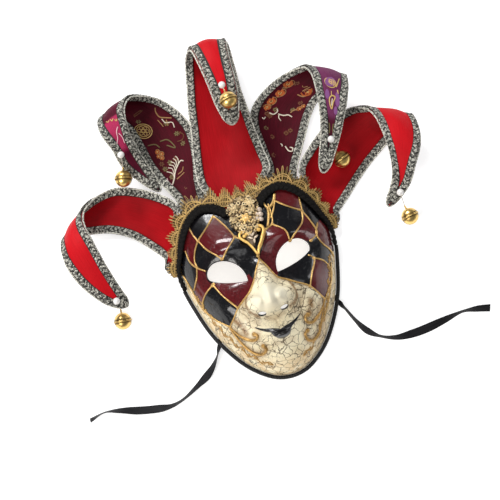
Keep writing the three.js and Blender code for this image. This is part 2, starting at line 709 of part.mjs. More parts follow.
for (const point of POINTS) {
  const at = pointGrid(point);
  const sections = Array.from({ length: POINT_STEPS }, (_, k) => at(k / (POINT_STEPS - 1)));
  place(point.name, loft(sections.map(clothRing)), point.cloth);
  const word = point.name.replace('_point', '');
  for (const edge of ['a', 'b']) {
    place(`trim_${word}_${edge}`, loft(sections.slice(1).map((section) => trimRing(section, edge))), 'gimp');
  }
  const { surface, front } = at(point.pearl.t);
  const pearl = offset(surface(point.pearl.s), front, -(CLOTH / 2 + GAP + PEARL_RADIUS + point.pearl.lift));
  place(`pearl_${word}`, new THREE.SphereGeometry(PEARL_RADIUS, 8, 5).translate(...pearl.toArray()), 'pearl');
  const bell = new THREE.Vector3(...point.bell);
  const aim = pearl.clone().sub(bell);
  aim.z *= BELL_LEAN;
  aim.normalize();
  const turn = new THREE.Quaternion().setFromUnitVectors(new THREE.Vector3(0, 0, 1), aim);
  place(`bell_${word}`, bellShape.clone().applyQuaternion(turn).translate(...point.bell), 'bell');
  const sewnOver = point.pearl.sewn === 'over';
  const knot = sewnOver ? pearl : offset(surface(point.pearl.s), front, CLOTH / 2 + TRIM_GAP + TRIM_WALL);
  const clear = sewnOver ? PEARL_RADIUS + GAP : 2 * THREAD_RADIUS + GAP;
  place(`thread_${word}`, thread(knot, offset(bell, aim, BELL_REACH), clear), 'black');
}

// Tie ribbons: flat strips that lie on the floor, rolling on edge where they twist
const RIBBON_STEPS = 24;

function ribbon(rows) {
  const half = RIBBON_THICKNESS / 2;
  const rise = (roll) => GAP / 2 + half + (RIBBON_WIDTH / 2 - half) * Math.abs(Math.sin(radians(roll)));
  const route = new THREE.CatmullRomCurve3(rows.map((row) => new THREE.Vector3(row.x, row.y, rise(row.roll))));
  const rolls = new THREE.CatmullRomCurve3(rows.map((row) => new THREE.Vector3(row.roll, 0, 0)));
  const rings = Array.from({ length: RIBBON_STEPS + 1 }, (_, k) => {
    const t = k / RIBBON_STEPS;
    const heading = route.getTangent(t);
    const side = new THREE.Vector3(heading.y, -heading.x, 0).normalize();
    const roll = radians(rolls.getPoint(t).x);
    const across = side.clone().applyAxisAngle(heading, roll);
    const up = heading.clone().cross(across).normalize();
    return oval(route.getPoint(t), across, up, RIBBON_WIDTH / 2, half, 8);
  });
  return loft(rings);
}
for (const { name, rows } of RIBBONS) place(name, ribbon(rows), 'ribbon');

// The part stands at the middle of its own footprint
mask.position.set(-(extent.min.x + extent.max.x) / 2, -(extent.min.y + extent.max.y) / 2, -extent.min.z);
mask.updateMatrixWorld(true);

export default mask;
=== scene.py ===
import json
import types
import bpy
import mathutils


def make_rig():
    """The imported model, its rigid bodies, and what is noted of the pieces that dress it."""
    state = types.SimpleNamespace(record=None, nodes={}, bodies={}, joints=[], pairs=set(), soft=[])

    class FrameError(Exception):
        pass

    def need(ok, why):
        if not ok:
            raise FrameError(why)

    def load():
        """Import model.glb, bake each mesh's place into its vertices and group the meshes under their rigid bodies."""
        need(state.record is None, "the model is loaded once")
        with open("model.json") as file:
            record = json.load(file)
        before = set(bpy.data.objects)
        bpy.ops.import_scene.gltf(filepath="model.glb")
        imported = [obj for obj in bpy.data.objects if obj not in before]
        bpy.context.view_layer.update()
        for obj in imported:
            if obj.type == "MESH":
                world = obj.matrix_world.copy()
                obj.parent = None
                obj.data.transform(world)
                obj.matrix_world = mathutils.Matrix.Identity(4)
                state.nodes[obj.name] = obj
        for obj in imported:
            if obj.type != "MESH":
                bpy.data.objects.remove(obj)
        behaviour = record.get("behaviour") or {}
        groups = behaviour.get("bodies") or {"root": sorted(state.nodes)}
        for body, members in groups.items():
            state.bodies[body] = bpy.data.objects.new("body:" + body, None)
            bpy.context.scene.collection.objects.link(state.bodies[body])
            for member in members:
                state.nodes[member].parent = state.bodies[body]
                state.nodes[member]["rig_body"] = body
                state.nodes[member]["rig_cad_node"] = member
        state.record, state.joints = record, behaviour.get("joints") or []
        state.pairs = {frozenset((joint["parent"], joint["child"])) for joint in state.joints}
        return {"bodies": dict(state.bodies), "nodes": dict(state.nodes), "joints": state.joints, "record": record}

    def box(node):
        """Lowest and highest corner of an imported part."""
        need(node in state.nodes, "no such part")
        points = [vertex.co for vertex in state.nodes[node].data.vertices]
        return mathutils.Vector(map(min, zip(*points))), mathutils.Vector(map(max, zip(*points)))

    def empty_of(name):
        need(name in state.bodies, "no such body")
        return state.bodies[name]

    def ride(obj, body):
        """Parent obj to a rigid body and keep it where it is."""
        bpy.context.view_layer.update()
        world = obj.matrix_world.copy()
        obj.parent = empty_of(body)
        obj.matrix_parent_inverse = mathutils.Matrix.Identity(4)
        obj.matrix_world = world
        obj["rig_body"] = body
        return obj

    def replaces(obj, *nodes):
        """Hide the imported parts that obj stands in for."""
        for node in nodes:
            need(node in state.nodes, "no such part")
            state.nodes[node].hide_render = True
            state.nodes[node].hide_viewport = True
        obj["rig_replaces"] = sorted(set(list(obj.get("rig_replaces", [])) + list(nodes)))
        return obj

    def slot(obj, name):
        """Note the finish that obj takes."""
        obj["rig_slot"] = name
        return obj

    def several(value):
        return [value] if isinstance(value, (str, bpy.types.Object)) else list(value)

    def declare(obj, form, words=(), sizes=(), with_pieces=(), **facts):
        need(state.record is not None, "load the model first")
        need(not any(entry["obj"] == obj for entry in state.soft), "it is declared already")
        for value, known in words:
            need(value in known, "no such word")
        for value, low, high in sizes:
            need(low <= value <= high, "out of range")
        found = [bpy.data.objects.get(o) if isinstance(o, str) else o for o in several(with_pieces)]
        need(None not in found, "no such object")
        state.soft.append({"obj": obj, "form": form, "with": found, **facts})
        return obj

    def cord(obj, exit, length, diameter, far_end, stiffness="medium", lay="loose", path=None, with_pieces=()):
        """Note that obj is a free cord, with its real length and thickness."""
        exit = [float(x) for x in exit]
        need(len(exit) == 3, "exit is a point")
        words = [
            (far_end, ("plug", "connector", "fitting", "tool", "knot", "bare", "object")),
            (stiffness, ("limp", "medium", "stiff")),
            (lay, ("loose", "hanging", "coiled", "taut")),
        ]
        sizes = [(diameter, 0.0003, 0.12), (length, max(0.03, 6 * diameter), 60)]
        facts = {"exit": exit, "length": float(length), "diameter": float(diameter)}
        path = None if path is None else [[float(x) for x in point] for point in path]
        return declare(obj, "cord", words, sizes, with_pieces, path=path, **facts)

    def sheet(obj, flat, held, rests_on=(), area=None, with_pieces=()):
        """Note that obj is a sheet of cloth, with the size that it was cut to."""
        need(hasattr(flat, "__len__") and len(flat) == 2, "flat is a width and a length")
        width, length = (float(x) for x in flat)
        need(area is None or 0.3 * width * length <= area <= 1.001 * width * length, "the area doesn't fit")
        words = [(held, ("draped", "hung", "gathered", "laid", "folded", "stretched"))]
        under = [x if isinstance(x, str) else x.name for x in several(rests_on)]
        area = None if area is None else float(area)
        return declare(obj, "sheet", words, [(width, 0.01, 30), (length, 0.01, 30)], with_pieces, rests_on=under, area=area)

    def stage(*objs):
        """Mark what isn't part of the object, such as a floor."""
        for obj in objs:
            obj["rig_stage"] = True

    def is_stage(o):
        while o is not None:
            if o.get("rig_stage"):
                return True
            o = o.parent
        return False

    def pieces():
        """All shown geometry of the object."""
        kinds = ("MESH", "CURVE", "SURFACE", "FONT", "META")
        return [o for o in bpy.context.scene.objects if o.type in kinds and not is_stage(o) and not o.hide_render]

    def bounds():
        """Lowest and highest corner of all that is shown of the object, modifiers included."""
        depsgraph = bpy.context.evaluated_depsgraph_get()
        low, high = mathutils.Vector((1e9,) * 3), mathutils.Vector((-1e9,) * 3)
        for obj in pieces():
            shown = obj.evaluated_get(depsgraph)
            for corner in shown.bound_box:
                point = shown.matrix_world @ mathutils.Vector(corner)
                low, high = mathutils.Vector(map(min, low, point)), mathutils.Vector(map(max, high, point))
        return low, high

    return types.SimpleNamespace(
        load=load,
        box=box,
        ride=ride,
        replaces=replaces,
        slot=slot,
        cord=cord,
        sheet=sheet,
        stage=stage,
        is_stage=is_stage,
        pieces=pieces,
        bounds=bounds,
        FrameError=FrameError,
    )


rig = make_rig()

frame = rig.load()
cad_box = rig.bounds()
import bisect
import json
import math
import random
import bmesh
import bpy
from mathutils import Matrix, Vector

# Viewpoint and room: the mask lies face up on a pale table and is seen from above its chin.
# Soft boxes stand round it, one behind the forehead so that the lacquer mirrors it.
MM = 0.001
CHIN = 106.5
ELEVATION, ROLL, DISTANCE = math.radians(78), math.radians(17), 1.5
FOCAL_PIXELS, FRAME_PIXELS, SENSOR = 1311, 500, 36
AIM = (-5.109, 43.29, 0)
shell_low, shell_high = (Vector(corner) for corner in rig.box("face_shell"))
seat = Vector(((shell_low.x + shell_high.x) / 2, shell_low.y + CHIN * MM, shell_low.z))


def spot(x, y, z):
    """A place given in millimetres from the middle of the face's back plane."""
    return seat + Vector((x, y, z)) * MM


look_at = spot(*AIM)
sight = Vector((0, math.cos(ELEVATION), -math.sin(ELEVATION)))
level_up = Vector((0, math.sin(ELEVATION), math.cos(ELEVATION)))
level_right = Vector((1, 0, 0))
view_right = level_right * math.cos(ROLL) - level_up * math.sin(ROLL)
view_up = level_right * math.sin(ROLL) + level_up * math.cos(ROLL)
camera = bpy.data.objects.new("camera", bpy.data.cameras.new("camera"))
camera.data.sensor_width = SENSOR
camera.data.lens = FOCAL_PIXELS / FRAME_PIXELS * SENSOR
camera.matrix_world = (
    Matrix.Translation(look_at - sight * DISTANCE)
    @ Matrix((view_right, view_up, -sight)).transposed().to_4x4()
)
bpy.context.collection.objects.link(camera)
bpy.context.scene.camera = camera
bpy.context.scene.view_settings.view_transform = "Standard"


class Wire:
    """One socket of a material, so that sums of textures read as plain arithmetic."""

    def __init__(self, tree, socket=None):
        self.tree, self.socket = tree, socket

    def node(self, kind, settings=None, inputs=None, out=0):
        made = self.tree.nodes.new(kind)
        for name, value in (settings or {}).items():
            setattr(made, name, value)
        for key, value in (inputs or {}).items():
            if isinstance(value, Wire):
                self.tree.links.new(value.socket, made.inputs[key])
            else:
                made.inputs[key].default_value = value
        return Wire(self.tree, made.outputs[out])

    def sum(self, operation, first, second=0.0):
        return self.node("ShaderNodeMath", {"operation": operation}, {0: first, 1: second})

    def __add__(self, other):
        return self.sum("ADD", self, other)

    def __radd__(self, other):
        return self.sum("ADD", other, self)

    def __sub__(self, other):
        return self.sum("SUBTRACT", self, other)

    def __rsub__(self, other):
        return self.sum("SUBTRACT", other, self)

    def __mul__(self, other):
        return self.sum("MULTIPLY", self, other)

    def __rmul__(self, other):
        return self.sum("MULTIPLY", other, self)

    def wave(self):
        return self.sum("SINE", self)

    def other(self, out):
        """Another output of the node that this socket belongs to."""
        return Wire(self.tree, self.socket.node.outputs[out])

    def split(self, kind="XYZ"):
        """The three parts of a vector or a colour."""
        first = self.node("ShaderNodeSeparate" + kind, {}, {0: self})
        return [first.other(k) for k in range(3)]

    def span(self, low, high, start=0.0, end=1.0):
        inputs = {0: self, 1: low, 2: high, 3: start, 4: end}
        return self.node("ShaderNodeMapRange", {"interpolation_type": "SMOOTHSTEP"}, inputs)

    def tint(self, bare, full):
        inputs = {0: self, 6: bare, 7: full}
        return self.node("ShaderNodeMix", {"data_type": "RGBA"}, inputs, out=2)

    def noise(self, scale, detail=2.0, out=0):
        return self.node("ShaderNodeTexNoise", {}, {"Vector": self, "Scale": scale, "Detail": detail}, out)

    def bump(self, strength, distance):
        inputs = {"Height": self, "Strength": strength, "Distance": distance}
        return self.node("ShaderNodeBump", {}, inputs)

    def feed(self, *names):
        shader = self.tree.nodes["Principled BSDF"]
        for name in names:
            self.tree.links.new(self.socket, shader.inputs[name])


def finish(name, reads="Object", **fixed):
    """A new material and the coordinate it is drawn on; `fixed` sets even values on the shader."""
    made = bpy.data.materials.new(name)
    made.use_nodes = True
    shader = made.node_tree.nodes["Principled BSDF"]
    for word, value in fixed.items():
        shader.inputs[word.replace("_", " ").title().replace("Ior", "IOR")].default_value = value
    return made, Wire(made.node_tree).node("ShaderNodeTexCoord", out=reads)


def softbox(name, place, size, watts, colour=(1, 1, 1)):
    lamp = bpy.data.objects.new(name, bpy.data.lights.new(name, "AREA"))
    lamp.data.shape, lamp.data.size, lamp.data.size_y = "RECTANGLE", *size
    lamp.data.energy, lamp.data.color = watts, colour
    lamp.location = place
    lamp.rotation_mode = "QUATERNION"
    lamp.rotation_quaternion = (look_at - Vector(place)).to_track_quat("-Z", "Y")
    bpy.context.collection.objects.link(lamp)


softbox("forehead_box", (-0.45, 1.45, 1.2), (0.9, 0.38), 34)
softbox("left_box", (-1.25, -0.95, 1.35), (0.9, 0.9), 30, (1, 0.97, 0.93))
softbox("right_box", (1.8, 0.5, 0.9), (0.4, 0.9), 8)
softbox("overhead_box", (0.25, -0.2, 2.4), (1.6, 1.2), 14.5)
room = bpy.data.worlds.new("room")
room.use_nodes = True
room.node_tree.nodes["Background"].inputs["Color"].default_value = (0.9, 0.93, 1, 1)
room.node_tree.nodes["Background"].inputs["Strength"].default_value = 0.2
bpy.context.scene.world = room

FLOOR_HALF, FLOOR_DROP = 9.0, 0.0004
table_paint, at = finish("table_paint", Roughness=0.7, Emission_Strength=0.6)
at.noise(9, 3).tint((0.62, 0.62, 0.62, 1), (0.66, 0.66, 0.655, 1)).feed("Base Color")
floor_mesh = bmesh.new()
bmesh.ops.create_grid(floor_mesh, x_segments=8, y_segments=8, size=FLOOR_HALF)
bmesh.ops.translate(floor_mesh, verts=floor_mesh.verts, vec=(0, 0, -FLOOR_DROP))
floor = bpy.data.objects.new("table_top", bpy.data.meshes.new("table_top"))
floor_mesh.to_mesh(floor.data)
floor_mesh.free()
floor.data.materials.append(table_paint)
bpy.context.collection.objects.link(floor)
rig.stage(floor)

# Face: a papier-mache full face moulded over a form, its heart-shaped forehead and cheeks cut to a rim.
# The upper face is lacquered in black and burgundy lozenges, the lower face is cream and crackled with age.
# Eyes and nostrils are cut through; the inside is left as bare paper.
WALL = 2.3
POLE_Y, DOME_TOP, RIM_TOP = -22, 61, 38
RIM = [
    (0, -106.5, 0), (15, -104, 0), (28.5, -96.5, 0), (45, -81.5, 0), (61.5, -57.5, 0), (73, -34, 0),
    (82.5, -3, 0), (87.5, 19, 1.5), (88.8, 33, 5), (87.5, 43, 9), (82.5, 55, 16), (72.5, 75, 28),
    (61, 88.5, 35), (47, 96, 38), (33.5, 93.5, 41), (23, 86, 44), (14, 74, 48), (0, 62, 53),
]
FORMS = [
    {"x": 18.5, "y": -31.5, "wide": 10.5, "tall": 11, "high": 17, "sharp": 2.3, "twin": True},
    {"x": 39, "y": 38, "wide": 24, "tall": 9, "high": 5, "sharp": 1, "twin": True},
    {"x": 40, "y": 13, "wide": 22, "tall": 13, "high": -7, "sharp": 1, "twin": True},
    {"x": 52, "y": -22, "wide": 17, "tall": 15, "high": 6, "sharp": 1, "twin": True},
    {"x": 31, "y": -44, "wide": 6, "tall": 13, "high": -2.2, "sharp": 1, "twin": True},
    {"x": 0, "y": -62, "wide": 24, "tall": 13, "high": 5, "sharp": 1, "twin": False},
    {"x": 0, "y": -54, "wide": 2.6, "tall": 6, "high": -1.2, "sharp": 1, "twin": False},
    {"x": 1, "y": -62.5, "wide": 15, "tall": 2.6, "high": 1.8, "sharp": 1, "twin": False},
    {"x": 1.5, "y": -66.4, "wide": 12, "tall": 1.2, "high": -2, "sharp": 1, "twin": False},
    {"x": 2, "y": -69.6, "wide": 10, "tall": 3.2, "high": 3.6, "sharp": 1.2, "twin": False},
    {"x": 0, "y": -92, "wide": 20, "tall": 10, "high": 8, "sharp": 1, "twin": False},
]
NOSE = {"top": 30, "tip": -35, "foot": -50, "high": 33, "bridge": 8, "wide": 12.5}
EYE = {"x": 17, "y": -1.5, "slant": math.radians(21)}
EYE_CURVES = [
    ((0, 0), (13, -3.5), (33, -4), (44, 0)),
    ((44, 0), (49, 3), (49, 12), (42, 17)),
    ((42, 17), (30, 25), (7, 22), (0, 0)),
]
NOSTRIL = {"x": 12.5, "y": -42.8, "long": 9.2, "wide": 3.5, "slant": math.radians(9)}
CREAM = [
    (-99, 36), (-85, 31.6), (-80.4, 13.8), (-78.3, 1.5), (-73.9, -12), (-63.8, -28.5), (-50.9, -41.7),
    (-43.6, -35), (-36.1, -26.8), (-30, -22.3), (-19.5, -14.8), (-10.5, -4.3), (-5.2, 6.2), (1.5, 18.8),
    (6.8, 8.7), (14.7, -7.1), (24.2, -12.6), (33.7, -18.6), (46.1, -26.3), (58.4, -41.5), (71.6, -21.5),
    (75, -10.5), (78.5, 2), (82, 10), (99, 18), (99, -120), (-99, -120),
]
BURGUNDY = [
    [(-32.8, 82), (-43.5, 73.2), (-57.7, 61.9), (-50.7, 47.6), (-37.5, 31.2), (-29.3, 38.5), (-16.8, 50.9),
     (-23.1, 65.7)],
    [(-62.7, 79), (-57.7, 61.9), (-64.5, 51.5), (-67.7, 40.4), (-67.3, 32.7), (-73.3, 43.2), (-73.5, 56),
     (-82, 62), (-72, 80)],
    [(-67.3, 32.7), (-59.6, 25.8), (-60, 14), (-55.5, 7.9), (-66, 1.8), (-72.5, -5.1), (-74.2, -12.9),
     (-78.3, 1.5), (-77.7, 13.3), (-70.6, 22.2)],
    [(-55.5, 7.9), (-47.4, -10.1), (-36.1, -26.8), (-30, -22.3), (-19.5, -14.8), (-10.5, -4.3), (-14, 5),
     (-30, 5), (-45, 9)],
    [(1.5, 18.8), (6.8, 8.7), (14.7, -7.1), (20, 3), (26, 20), (40.3, 29.7), (38.2, 41.5), (26.6, 53),
     (18.6, 49.2), (12.8, 37.3), (7, 26)],
    [(37.6, 79), (48.7, 69.6), (63.3, 60.7), (64.6, 76.6), (62, 92), (45, 99), (39.7, 86)],
    [(63.3, 60.7), (59.4, 47.5), (40.3, 29.7), (50, 26), (62.8, 24.6), (71.8, 31.5), (69.3, 46)],
    [(71.8, 31.5), (73.9, 19.5), (80.8, 11.7), (92, 14), (88, 34), (80, 48), (74.8, 41.4)],
    [(46.1, -26.3), (52.9, -11.6), (59.9, 4.1), (70, -0.6), (75, -10.5), (71.6, -21.5), (58.4, -41.5)],
]
HOOKS = [
    [(-51, -42), (-43.2, -54.5), (-36.9, -60.7), (-31.9, -63.7), (-26.2, -64.3), (-24.4, -61),
     (-27.6, -58.8)],
    [(-51.5, -43), (-47.7, -53.2), (-42.9, -63.6), (-37.4, -72.1), (-30.3, -79), (-23.6, -80.4),
     (-19.5, -77.2), (-21.7, -73.3)],
    [(58.5, -40), (53.9, -48.4), (46.1, -57), (36.7, -63.4), (31.4, -61.6), (31.3, -56.2), (34.9, -54.7)],
    [(51.5, -54.4), (46.5, -65.3), (40.8, -74.9), (32.8, -81), (27, -79.6), (25.9, -73.2), (29.3, -70.7)],
]
# Brown lines along the creases and hollows of the lower face, each with a width and a strength: antique glaze,
# deepened into painted shade beside the nose, under the cheeks and under the lower lip.
GLAZE_AND_SHADE_LINES = [
    ([(-22.8, -17), (-25.9, -23), (-27, -29), (-25.7, -36), (-21.7, -41), (-16.3, -44.4)], 1.5, 0.95),
    ([(26, -16), (28.2, -20.7), (30.2, -28.4), (29.3, -34.1), (25, -39.8), (19, -43)], 1.5, 0.95),
    ([(-31, -26), (-32, -35), (-28, -43), (-20, -48)], 4.5, 0.45),
    ([(34, -26), (34.5, -34), (30, -42), (22, -47)], 4, 0.4),
    ([(-47, -33), (-41, -41), (-37.5, -48), (-36, -55)], 4, 0.9),
    ([(-46, -47), (-38, -56)], 4, 0.6),
    ([(43, -40), (40.5, -48), (37, -54)], 4, 0.9),
    ([(53, -44), (46, -54)], 3.5, 0.6),
    ([(-36, -26), (-30, -22), (-19, -14), (-10, -4), (-5, 6), (1.5, 18)], 2.2, 0.6),
    ([(1.5, 18), (7, 8), (15, -8), (24, -13), (34, -19), (46, -27)], 2.2, 0.6),
    ([(-10, -47), (0, -50.5), (10, -47)], 2.6, 0.45),
    ([(-1, -51), (0.5, -58)], 1.3, 0.35),
    ([(-9, -75), (2, -77), (12, -75)], 3, 0.3),
    ([(-27, -50), (-20, -58)], 1.6, 0.4),
    ([(29, -50), (21, -58.5)], 1.6, 0.4),
    *((row, 3.4, 0.8) for row in HOOKS),
]
FACE_AROUND, FACE_OUTWARD, FACE_BUNCH = 320, 120, 1.5
RIM_STEPS, KNOT_STEPS = 1440, 24
BARE_NOSE = {"y": -29, "wide": 21, "tall": 16}


def mix(start, end, share):
    return start + (end - start) * share


def smooth(value, low, high):
    share = min(max((value - low) / (high - low), 0.0), 1.0)
    return share * share * (3 - 2 * share)


def flow(points, share, closed=False):
    """A point of the smooth curve through `points`, its bends spread by the square root of the chords."""
    count = len(points)
    place = (count - (0 if closed else 1)) * share
    first = min(int(place), count - 1 if closed else count - 2)
    step = place - first

    def knot(index):
        if closed:
            return points[index % count]
        if index < 0:
            return points[0] * 2 - points[1]
        return points[index] if index < count else points[-1] * 2 - points[-2]

    before, here, there, after = (knot(first + k) for k in (-1, 0, 1, 2))
    gaps = [max((q - p).length ** 0.5, 1e-4) for p, q in ((before, here), (here, there), (there, after))]
    lead = (here - before) / gaps[0] - (there - before) / (gaps[0] + gaps[1]) + (there - here) / gaps[1]
    tail = (there - here) / gaps[1] - (after - here) / (gaps[1] + gaps[2]) + (after - there) / gaps[2]
    lead, tail = lead * gaps[1], tail * gaps[1]
    bend = (there - here) * 3 - lead * 2 - tail
    twist = (here - there) * 2 + lead + tail
    return here + lead * step + bend * step ** 2 + twist * step ** 3


def trace(points, count, closed=False):
    """`count` evenly spaced points along the smooth curve through the given ones."""
    knots = [Vector(point) for point in points]
    steps = len(knots) * KNOT_STEPS
    fine = [flow(knots, k / steps, closed) for k in range(steps + 1)]
    marks = [0.0]
    for start, end in zip(fine, fine[1:]):
        marks.append(marks[-1] + (end - start).length)
    found = []
    for k in range(count):
        goal = marks[-1] * k / (count if closed else count - 1)
        upper = min(max(bisect.bisect_left(marks, goal), 1), len(fine) - 1)
        part = (goal - marks[upper - 1]) / max(marks[upper] - marks[upper - 1], 1e-9)
        found.append(fine[upper - 1].lerp(fine[upper], part))
    return found


def relief(x, y):
    rise = smooth(-y, -NOSE["top"], -NOSE["tip"])
    fall = 1 - smooth(-y, -NOSE["tip"] + 2, -NOSE["foot"])
    wide = mix(NOSE["bridge"], NOSE["wide"], rise)
    total = NOSE["high"] * rise ** 1.3 * fall * math.exp(-((x / wide) ** 2))
    for form in FORMS:
        for side in (1, -1) if form["twin"] else (1,):
            across, along = (x - side * form["x"]) / form["wide"], (y - form["y"]) / form["tall"]
            total += form["high"] * math.exp(-((across * across + along * along) ** form["sharp"]))
    return total


def crown(x, y, reach, rim_height):
    """Height of the face at a share of the way from its middle to the rim."""
    gentle = smooth(rim_height, 0, RIM_TOP)
    swell = max(1 - reach ** mix(2.4, 2, gentle), 0.0) ** mix(0.55, 1, gentle)
    return rim_height + (DOME_TOP - rim_height) * swell + relief(x, y) * (1 - reach ** 6)


rim_line = [Vector(row) for row in RIM] + [Vector((-x, y, z)) for x, y, z in RIM[-2:0:-1]]
rim_fine = trace(rim_line, RIM_STEPS, closed=True)
rim_table = sorted((math.atan2(p.x, p.y - POLE_Y), math.hypot(p.x, p.y - POLE_Y), p.z) for p in rim_fine)
rim_bearings = [row[0] for row in rim_table]


def face_height(x, y):
    """Height of the face over a place, and that place's share of the way out to the rim."""
    bearing = math.atan2(x, y - POLE_Y)
    upper = bisect.bisect(rim_bearings, bearing) % len(rim_table)
    low, high = rim_table[upper - 1], rim_table[upper]
    part = ((bearing - low[0]) % (2 * math.pi)) / max((high[0] - low[0]) % (2 * math.pi), 1e-9)
    reach = min(math.hypot(x, y - POLE_Y) / mix(low[1], high[1], part), 1.0)
    return crown(x, y, reach, mix(low[2], high[2], part)), reach


def face_normal(x, y, step=0.6):
    slope_x = (face_height(x + step, y)[0] - face_height(x - step, y)[0]) / (2 * step)
    slope_y = (face_height(x, y + step)[0] - face_height(x, y - step)[0]) / (2 * step)
    return Vector((-slope_x, -slope_y, 1)).normalized()


def inside(x, y, outline):
    found = False
    for (ax, ay), (bx, by) in zip(outline, outline[1:] + outline[:1]):
        if (ay > y) != (by > y) and x < ax + (y - ay) / (by - ay) * (bx - ax):
            found = not found
    return found


def eye_outline(side, steps=16):
    turn = Matrix.Rotation(EYE["slant"], 2)
    rows = []
    for p0, p1, p2, p3 in EYE_CURVES:
        for k in range(steps):
            t = k / steps
            shares = ((1 - t) ** 3, 3 * t * (1 - t) ** 2, 3 * t * t * (1 - t), t ** 3)
            flat = sum((Vector(p) * w for p, w in zip((p0, p1, p2, p3), shares)), Vector((0, 0)))
            place = turn @ flat
            rows.append((side * (place.x + EYE["x"]), place.y + EYE["y"]))
    return rows


def nostril_outline(side, steps=24):
    rows = []
    for k in range(steps):
        angle = 2 * math.pi * k / steps
        flat = Vector((NOSTRIL["long"] / 2 * math.cos(angle), NOSTRIL["wide"] / 2 * math.sin(angle)))
        flat.rotate(Matrix.Rotation(NOSTRIL["slant"], 2))
        rows.append((side * (flat.x + NOSTRIL["x"]), flat.y + NOSTRIL["y"]))
    return rows


def nearest_on(x, y, outline, closed=True):
    best, place = 1e9, (x, y)
    ends = outline[1:] + outline[:1] if closed else outline[1:]
    for (ax, ay), (bx, by) in zip(outline, ends):
        length = max((bx - ax) ** 2 + (by - ay) ** 2, 1e-9)
        t = min(max(((x - ax) * (bx - ax) + (y - ay) * (by - ay)) / length, 0), 1)
        px, py = ax + t * (bx - ax), ay + t * (by - ay)
        away = (px - x) ** 2 + (py - y) ** 2
        if away < best:
            best, place = away, (px, py)
    return place


def new_mesh():
    made = bmesh.new()
    made.loops.layers.uv.new("map")
    made.verts.layers.float_color.new("tone")
    return made


def bent_grid(mesh, along, across, place, scale=(1, 1), tone=None):
    """A grid whose corners go to place(u, v), with a map in the scale given and one tone."""
    uv, paint = mesh.loops.layers.uv["map"], mesh.verts.layers.float_color["tone"]
    made = bmesh.ops.create_grid(mesh, x_segments=along, y_segments=across, size=1)["verts"]
    where = {}
    for index, vert in enumerate(made):
        row, column = divmod(index, along + 1)
        where[vert] = (column / along, row / across)
        vert.co = place(*where[vert])
        if tone:
            vert[paint] = tone
    for face in {face for vert in made for face in vert.link_faces}:
        for loop in face.loops:
            u, v = where[loop.vert]
            loop[uv].uv = (u * scale[0], v * scale[1])
    return made


def piece(name, mesh, materials, outward=False):
    """Turns a finished bmesh into an object of the part."""
    if outward:
        bmesh.ops.recalc_face_normals(mesh, faces=mesh.faces[:])
    data = bpy.data.meshes.new(name)
    mesh.to_mesh(data)
    mesh.free()
    data.shade_smooth()
    for material in materials:
        data.materials.append(material)
    made = bpy.data.objects.new(name, data)
    bpy.context.collection.objects.link(made)
    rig.ride(made, "root")
    return made


def thicken(thing, wall, offset, inner=0, edge=0):
    wall_modifier = thing.modifiers.new("wall", "SOLIDIFY")
    wall_modifier.thickness, wall_modifier.offset = wall * MM, offset
    wall_modifier.material_offset, wall_modifier.material_offset_rim = inner, edge
    wall_modifier.use_even_offset = False


face_mesh = new_mesh()
face_rim = trace(rim_line, FACE_AROUND, closed=True)
middle = Vector((0, POLE_Y, 0))


def face_place(u, v):
    rim = face_rim[int(round(u * FACE_AROUND)) % FACE_AROUND]
    reach = 1 - (1 - v) ** FACE_BUNCH
    place = middle.lerp(Vector((rim.x, rim.y, 0)), reach)
    place.z = crown(place.x, place.y, reach, rim.z)
    return place


bent_grid(face_mesh, FACE_AROUND, FACE_OUTWARD, face_place)
bmesh.ops.remove_doubles(face_mesh, verts=face_mesh.verts[:], dist=1e-4)
for outline in [eye_outline(1), eye_outline(-1), nostril_outline(1), nostril_outline(-1)]:
    low_x, high_x = min(p[0] for p in outline), max(p[0] for p in outline)
    low_y, high_y = min(p[1] for p in outline), max(p[1] for p in outline)
    near = []
    for face in face_mesh.faces:
        at_x, at_y, _ = face.calc_center_median()
        if low_x <= at_x <= high_x and low_y <= at_y <= high_y and inside(at_x, at_y, outline):
            near.append(face)
    edge_verts = {v for f in near for v in f.verts}
    bmesh.ops.delete(face_mesh, geom=near, context="FACES")
    for vert in edge_verts:
        if vert.is_valid and vert.link_faces:
            vert.co.x, vert.co.y = nearest_on(vert.co.x, vert.co.y, outline)
            vert.co.z = face_height(vert.co.x, vert.co.y)[0]
panel = face_mesh.verts.layers.float_color["tone"]


def glaze_and_shade(x, y):
    """How much brown is laid at a place on the cheeks: antique glaze in the creases, deepened into painted shade in
    the hollows.
    """
    total = 0.0
    for line, size, share in GLAZE_AND_SHADE_LINES:
        px, py = nearest_on(x, y, line, closed=False)
        total = max(total, share * math.exp(-((px - x) ** 2 + (py - y) ** 2) / size ** 2))
    return total


for vert in face_mesh.verts:
    x, y, z = vert.co
    cream = inside(x, y, CREAM)
    red = not cream and any(inside(x, y, outline) for outline in BURGUNDY)
    across, along = x / BARE_NOSE["wide"], (y - BARE_NOSE["y"]) / BARE_NOSE["tall"]
    bare = math.exp(-((across ** 2 + along ** 2) ** 2))
    vert[panel] = (float(red), float(cream), bare, glaze_and_shade(x, y) if cream else 0.0)
for vert in face_mesh.verts:
    vert.co = spot(*vert.co)
bmesh.ops.recalc_face_normals(face_mesh, faces=face_mesh.faces[:])
top_face = max(face_mesh.faces, key=lambda face: face.calc_center_median().z)
if top_face.normal.z < 0:
    bmesh.ops.reverse_faces(face_mesh, faces=face_mesh.faces[:])


def painted(wire):
    """The colour that the mesh carries on its points."""
    return wire.node("ShaderNodeAttribute", {"attribute_name": "tone"})


